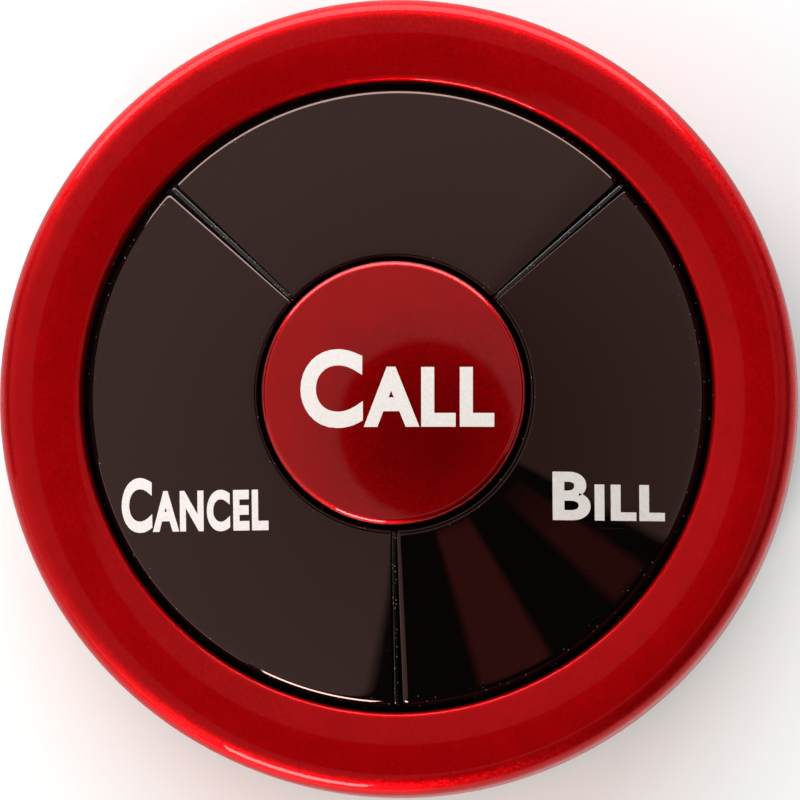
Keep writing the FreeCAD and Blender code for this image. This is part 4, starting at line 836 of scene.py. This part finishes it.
class TRANSMITTER_OT_underside(Operator):
    """Smooth the base, foot, battery door and screws"""

    bl_idname = "transmitter.underside"
    bl_label = "Underside"

    def execute(self, context):
        for name, node, body, slot, make in UNDERSIDE:
            publish(merged_copy(node), name, body, finish(make), [node])
        return {"FINISHED"}


class TRANSMITTER_OT_inside(Operator):
    """Give every piece inside its finish"""

    bl_idname = "transmitter.inside"
    bl_label = "Inside"

    def execute(self, context):
        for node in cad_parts.values():
            for slot in node.material_slots:
                if slot.material.name in FINISHES:
                    slot.material = finish(FINISHES[slot.material.name])
        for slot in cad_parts["key_frame"].material_slots:
            slot.material = finish(dusty_abs)
        return {"FINISHED"}


# ---------------------------------------------------------------- printed words

LETTER_CUT = 0.6 * MM
LETTER_WEIGHT = 0.034               # how much the outlines grow, of the letter size
LETTER_SPACING = 1.1
LETTER_STEPS = 8
MERGE_FLAT = 1e-5                   # of the letter size, before the word is scaled


def word_mesh(word, width, height, small_share):
    """A flat word, tall first letter and small capitals, scaled to its real size."""
    curve = bpy.data.curves.new(word, "FONT")
    curve.body = word.capitalize()
    curve.offset = LETTER_WEIGHT
    curve.resolution_u = LETTER_STEPS
    curve.space_character = LETTER_SPACING
    curve.small_caps_scale = small_share
    for letter in curve.body_format[1:]:
        letter.use_small_caps = True
    flat = bpy.data.objects.new(word, curve)
    bpy.context.scene.collection.objects.link(flat)
    bpy.context.view_layer.update()
    data = bpy.data.meshes.new_from_object(flat)
    bpy.data.objects.remove(flat)
    bpy.data.curves.remove(curve)
    mesh = bmesh.new()
    mesh.from_mesh(data)
    bpy.data.meshes.remove(data)
    bmesh.ops.remove_doubles(mesh, verts=mesh.verts[:], dist=MERGE_FLAT)
    low_x, high_x = (pick(vertex.co.x for vertex in mesh.verts) for pick in (min, max))
    low_y, high_y = (pick(vertex.co.y for vertex in mesh.verts) for pick in (min, max))
    middle = Vector(((low_x + high_x) / 2, 0, 0))
    bmesh.ops.translate(mesh, verts=mesh.verts[:], vec=-middle)
    bmesh.ops.scale(mesh, verts=mesh.verts[:],
                    vec=(width / (high_x - low_x), height / (high_y - low_y), 1))
    return mesh


def cut_across(mesh, axis, reach):
    """Cut faces into strips across an axis, so that they can follow a dome."""
    count = math.ceil(reach / LETTER_CUT)
    for number in range(-count, count + 1):
        at = Vector(axis) * number * LETTER_CUT
        bmesh.ops.bisect_plane(mesh, geom=mesh.verts[:] + mesh.edges[:] + mesh.faces[:],
                               dist=MERGE, plane_co=at, plane_no=axis)


def lay_print(key):
    """Lay a key's word on it: cut fine, dropped onto the surface, and given its thickness."""
    prints = settings().prints
    word = getattr(prints, key)
    width, height, small_share, place = (
        getattr(prints, f"{key}_{part}") for part in ("width", "height", "small", "place"))
    mesh = word_mesh(word, width, height, small_share)
    cut_across(mesh, (1, 0, 0), width)
    cut_across(mesh, (0, 1, 0), height)
    bmesh.ops.translate(mesh, verts=mesh.verts[:], vec=(*place, 0))
    ground = BVHTree.FromObject(bpy.data.objects[f"{key}_button"],
                                bpy.context.evaluated_depsgraph_get())
    for vertex in mesh.verts:
        found = ground.ray_cast(Vector((vertex.co.x, vertex.co.y, 1)), -AXIS)[0]
        vertex.co.z = found.z + prints.thickness
    # The ink reaches into the plastic, so that no gap shows under its edge.
    below = bmesh.ops.extrude_face_region(mesh, geom=mesh.faces[:])
    bmesh.ops.translate(mesh, vec=-AXIS * 3 * prints.thickness, verts=[
        item for item in below["geom"] if isinstance(item, bmesh.types.BMVert)])
    bmesh.ops.recalc_face_normals(mesh, faces=mesh.faces[:])
    publish(mesh, f"{key}_print", f"{key}_key", finish(printing_ink))


class TRANSMITTER_OT_prints(Operator):
    """Print the plain words on the keys"""

    bl_idname = "transmitter.prints"
    bl_label = "Printed words"

    def execute(self, context):
        for key in ("call", "cancel", "bill"):
            lay_print(key)
        return {"FINISHED"}


# ---------------------------------------------------------------- studio

def radians(*angles):
    """Angles in degrees turned to radians."""
    return [math.radians(angle) for angle in angles]


# The scrim, in metres; its shapes are in radians round from +X and metres from the axis.
SCRIM_HEIGHT = 0.5
SCRIM_RADIUS = 0.95
RIGHT_TURN = radians(-90, 56)
RIGHT_SOFT = 0.06
DARK_RISE = radians(-98.5, -96)     # the dark zone begins between these
DARK_FALL = radians(-25, -27.5)     # and ends between these, where the first has none of it
DARK_LEAN = 0.62                    # radians that its left edge turns for a metre outwards
DARK_LEAN_START = 0.19              # and how much it has turned where DARK_RISE is measured
AWAY = (0.17, 0.23)                 # the right and the dark zone begin this far out
OUTER = (0.30, 0.50)                # and the brighter outer zone this far
OUTER_SHARE = 0.45
LENS_SHIFT = (-0.012, 0.013, 0)     # brings the middle of the lens opening to the axis
LENS_EDGE = (0.103, 0.093)          # that opening's soft edge, from outside to inside
STREAKS = ((radians(-77, -61), (0.26, 0.43), 1.0), (radians(-43, -33), (0.30, 0.41), 0.7))
STREAK_SOFT = (0.02, 0.03)
# Its radiance, as linear red, green and blue.
SCRIM_LEFT = (0.68, 0.52, 0.51)
SCRIM_RIGHT = (0.42, 0.28, 0.27)
SCRIM_OUTER = (1.10, 0.95, 0.95)
SCRIM_DARK = (0.004, 0.002, 0.002)
SCRIM_STREAK = (0.46, 0.10, 0.08)

ROOM_COLOUR = "808080"
ROOM_STRENGTH = 0.012
LIGHT_TARGET = (0, 0, 0.01)
FLOOR_SIDES = 96
SCRIM_SIDES = 64
SENSOR_WIDTH = 36.0                 # millimetres, as a full-frame camera has


def band(tree, value, edges, soft):
    """Factor that is 1 between two edges and falls softly to 0 past them."""
    rising = between(tree, value, edges[0] - soft, edges[0] + soft)
    falling = between(tree, value, edges[1] + soft, edges[1] - soft)
    return times(tree, rising, falling)


def scrim_light(name):
    """Diffusing scrim over the table: glows evenly at the left and back, less at the right.

    It is dark in front at the right, with two dim reddish streaks, and has an opening for the
    lens, and the glossy keys mirror these shapes.
    """
    material, tree, place = new_material(name)
    parts = add(tree, "ShaderNodeSeparateXYZ", {0: place})
    turned = add(tree, "ShaderNodeMath", {0: parts.outputs[1], 1: parts.outputs[0]},
                 operation="ARCTAN2").outputs[0]
    reach = distance_from_axis(tree, place)
    away = between(tree, reach, *AWAY)
    leaning = add(tree, "ShaderNodeMath", {0: reach, 1: DARK_LEAN, 2: turned},
                  operation="MULTIPLY_ADD").outputs[0]
    rising = between(tree, leaning, *(DARK_LEAN_START + angle for angle in DARK_RISE))
    dark = times(tree, times(tree, rising, between(tree, turned, *DARK_FALL)), away)
    right = times(tree, band(tree, turned, RIGHT_TURN, RIGHT_SOFT), away)
    outer = times(tree, between(tree, reach, *OUTER), OUTER_SHARE)
    offset = add(tree, "ShaderNodeVectorMath", {0: place, 1: LENS_SHIFT},
                 operation="ADD").outputs[0]
    lens = between(tree, distance_from_axis(tree, offset), *LENS_EDGE)
    glow = blend_colours(tree, right, SCRIM_LEFT, SCRIM_RIGHT)
    glow = blend_colours(tree, outer, glow, SCRIM_OUTER)
    glow = blend_colours(tree, dark, glow, SCRIM_DARK)
    glow = blend_colours(tree, lens, glow, SCRIM_DARK)
    for turns, reaches, strength in STREAKS:
        streak = times(tree, band(tree, turned, turns, STREAK_SOFT[0]),
                       band(tree, reach, reaches, STREAK_SOFT[1]))
        glow = blend_colours(tree, times(tree, streak, strength), glow, SCRIM_STREAK)
    lamp = add(tree, "ShaderNodeEmission", {"Color": glow, "Strength": 1.0})
    add(tree, "ShaderNodeOutputMaterial", {"Surface": lamp.outputs[0]})
    return material


def direction(azimuth, elevation):
    """Unit vector at degrees round from +X and up from the floor."""
    azimuth, elevation = math.radians(azimuth), math.radians(elevation)
    return Vector((math.cos(azimuth) * math.cos(elevation),
                   math.sin(azimuth) * math.cos(elevation), math.sin(elevation)))


def softbox(name, centre, width, depth, radiance, code, target=None, in_gloss=True):
    """A soft area light of that radiance; it faces the target, or straight down."""
    lamp = bpy.data.lights.new(name, "AREA")
    lamp.shape = "RECTANGLE"
    lamp.size = width
    lamp.size_y = depth
    lamp.energy = radiance * math.pi * width * depth
    lamp.color = linear(code)
    box = bpy.data.objects.new(name, lamp)
    box.location = centre
    if target is not None:
        box.rotation_euler = (Vector(target) - Vector(centre)).to_track_quat("-Z", "Y").to_euler()
    box.visible_glossy = in_gloss
    bpy.context.scene.collection.objects.link(box)


def pale_card(name):
    """Pale card on the table: matt, with a faint cloudiness over some centimetres."""
    colours = settings().colours
    material, tree, place = new_material(name)
    fibre = between(tree, noise(tree, place, 40.0, 3.0), 0.3, 0.7)
    tone = blend_colours(tree, fibre, [0.985 * part for part in colours.floor], colours.floor)
    surface(tree, {"Base Color": tone, "Roughness": 0.9, "Specular IOR Level": 0.2})
    return material


def stage_disc(name, sides, radius, height, material, faces_down=False):
    """A flat round piece of the studio."""
    mesh = bmesh.new()
    bmesh.ops.create_circle(mesh, cap_ends=True, segments=sides, radius=radius,
                            matrix=Matrix.Translation((0, 0, height)))
    if faces_down:
        bmesh.ops.reverse_faces(mesh, faces=mesh.faces[:])
    data = bpy.data.meshes.new(name)
    mesh.to_mesh(data)
    mesh.free()
    data.materials.append(material)
    disc = bpy.data.objects.new(name, data)
    bpy.context.scene.collection.objects.link(disc)
    return disc


def light_studio():
    """The dim room, the scrim overhead, and the softboxes round and above the table."""
    world = bpy.data.worlds.new("room")
    bpy.context.scene.world = world
    world.use_nodes = True
    room = world.node_tree.nodes["Background"]
    room.inputs["Color"].default_value = (*linear(ROOM_COLOUR), 1)
    room.inputs["Strength"].default_value = ROOM_STRENGTH
    scrim = stage_disc("scrim", SCRIM_SIDES, SCRIM_RADIUS, SCRIM_HEIGHT, scrim_light("scrim"),
                       faces_down=True)
    scrim.visible_camera = False
    scrim.visible_shadow = False
    softbox("strip_front", direction(-109, 20) * 0.5, width=0.19, depth=0.16, radiance=30.0,
            code="FFF8F2", target=LIGHT_TARGET)
    softbox("low_back", direction(96, 16) * 0.35, width=0.72, depth=0.19, radiance=9.5,
            code="FFFFFF", target=LIGHT_TARGET)
    softbox("low_left", direction(212, 16) * 0.4, width=0.34, depth=0.13, radiance=1.6,
            code="FFF0EA", target=LIGHT_TARGET)
    softbox("table_fill", (0, 0, 0.9), width=1.2, depth=1.2, radiance=1.35, code="CCF2F8",
            in_gloss=False)


def aim_camera():
    """A long lens, nearly overhead, with +Y up in its picture."""
    studio = settings().studio
    camera = bpy.data.cameras.new("camera")
    camera.sensor_width = SENSOR_WIDTH
    camera.lens = camera.sensor_width * studio.distance / studio.view_width
    viewer = bpy.data.objects.new("camera", camera)
    bpy.context.scene.collection.objects.link(viewer)
    back = Vector((math.sin(studio.azimuth) * math.cos(studio.elevation),
                   -math.cos(studio.azimuth) * math.cos(studio.elevation),
                   math.sin(studio.elevation)))
    right = Vector((0, 1, 0)).cross(back).normalized()
    turned = Matrix((right, back.cross(right), back)).transposed().to_4x4()
    target = AXIS * studio.target_height
    viewer.matrix_world = Matrix.Translation(target + back * studio.distance) @ turned
    bpy.context.scene.camera = viewer


class TRANSMITTER_OT_studio(Operator):
    """Set up the pale floor, the soft lights and the camera"""

    bl_idname = "transmitter.studio"
    bl_label = "Studio"

    def execute(self, context):
        context.scene.view_settings.view_transform = "Standard"
        stage_disc("floor", FLOOR_SIDES, settings().studio.floor_reach, 0, finish(pale_card))
        light_studio()
        aim_camera()
        return {"FINISHED"}


class TRANSMITTER_PT_sidebar(Panel):
    """Lists the pieces in the 3D view's sidebar"""

    bl_idname = "TRANSMITTER_PT_sidebar"
    bl_label = "Call transmitter"
    bl_space_type = "VIEW_3D"
    bl_region_type = "UI"
    bl_category = "Call transmitter"

    def draw(self, context):
        for operator in OPERATORS:
            self.layout.operator(operator.bl_idname)
        for group in ("ring", "call_key", "sectors", "prints", "colours", "studio"):
            box = self.layout.box()
            values = getattr(context.scene.transmitter, group)
            for name in values.bl_rna.properties.keys():
                if name not in ("rna_type", "name"):
                    box.prop(values, name)


GROUPS = (RingSizes, CallKeySizes, SectorSizes, PrintSizes, Colours, StudioSettings,
          Transmitter)
OPERATORS = (TRANSMITTER_OT_ring, TRANSMITTER_OT_call_key, TRANSMITTER_OT_sectors,
             TRANSMITTER_OT_underside, TRANSMITTER_OT_inside, TRANSMITTER_OT_prints,
             TRANSMITTER_OT_studio)


def register():
    """Make the groups, operators and panel known, and add the settings to the scene."""
    for entry in (*GROUPS, *OPERATORS, TRANSMITTER_PT_sidebar):
        bpy.utils.register_class(entry)
    bpy.types.Scene.transmitter = PointerProperty(type=Transmitter)


def unregister():
    """Take everything back."""
    del bpy.types.Scene.transmitter
    for entry in reversed((*GROUPS, *OPERATORS, TRANSMITTER_PT_sidebar)):
        bpy.utils.unregister_class(entry)


def main():
    """Build every piece and the studio."""
    register()
    for operator in OPERATORS:
        family, name = operator.bl_idname.split(".")
        getattr(getattr(bpy.ops, family), name)()


if __name__ == "__main__":
    main()
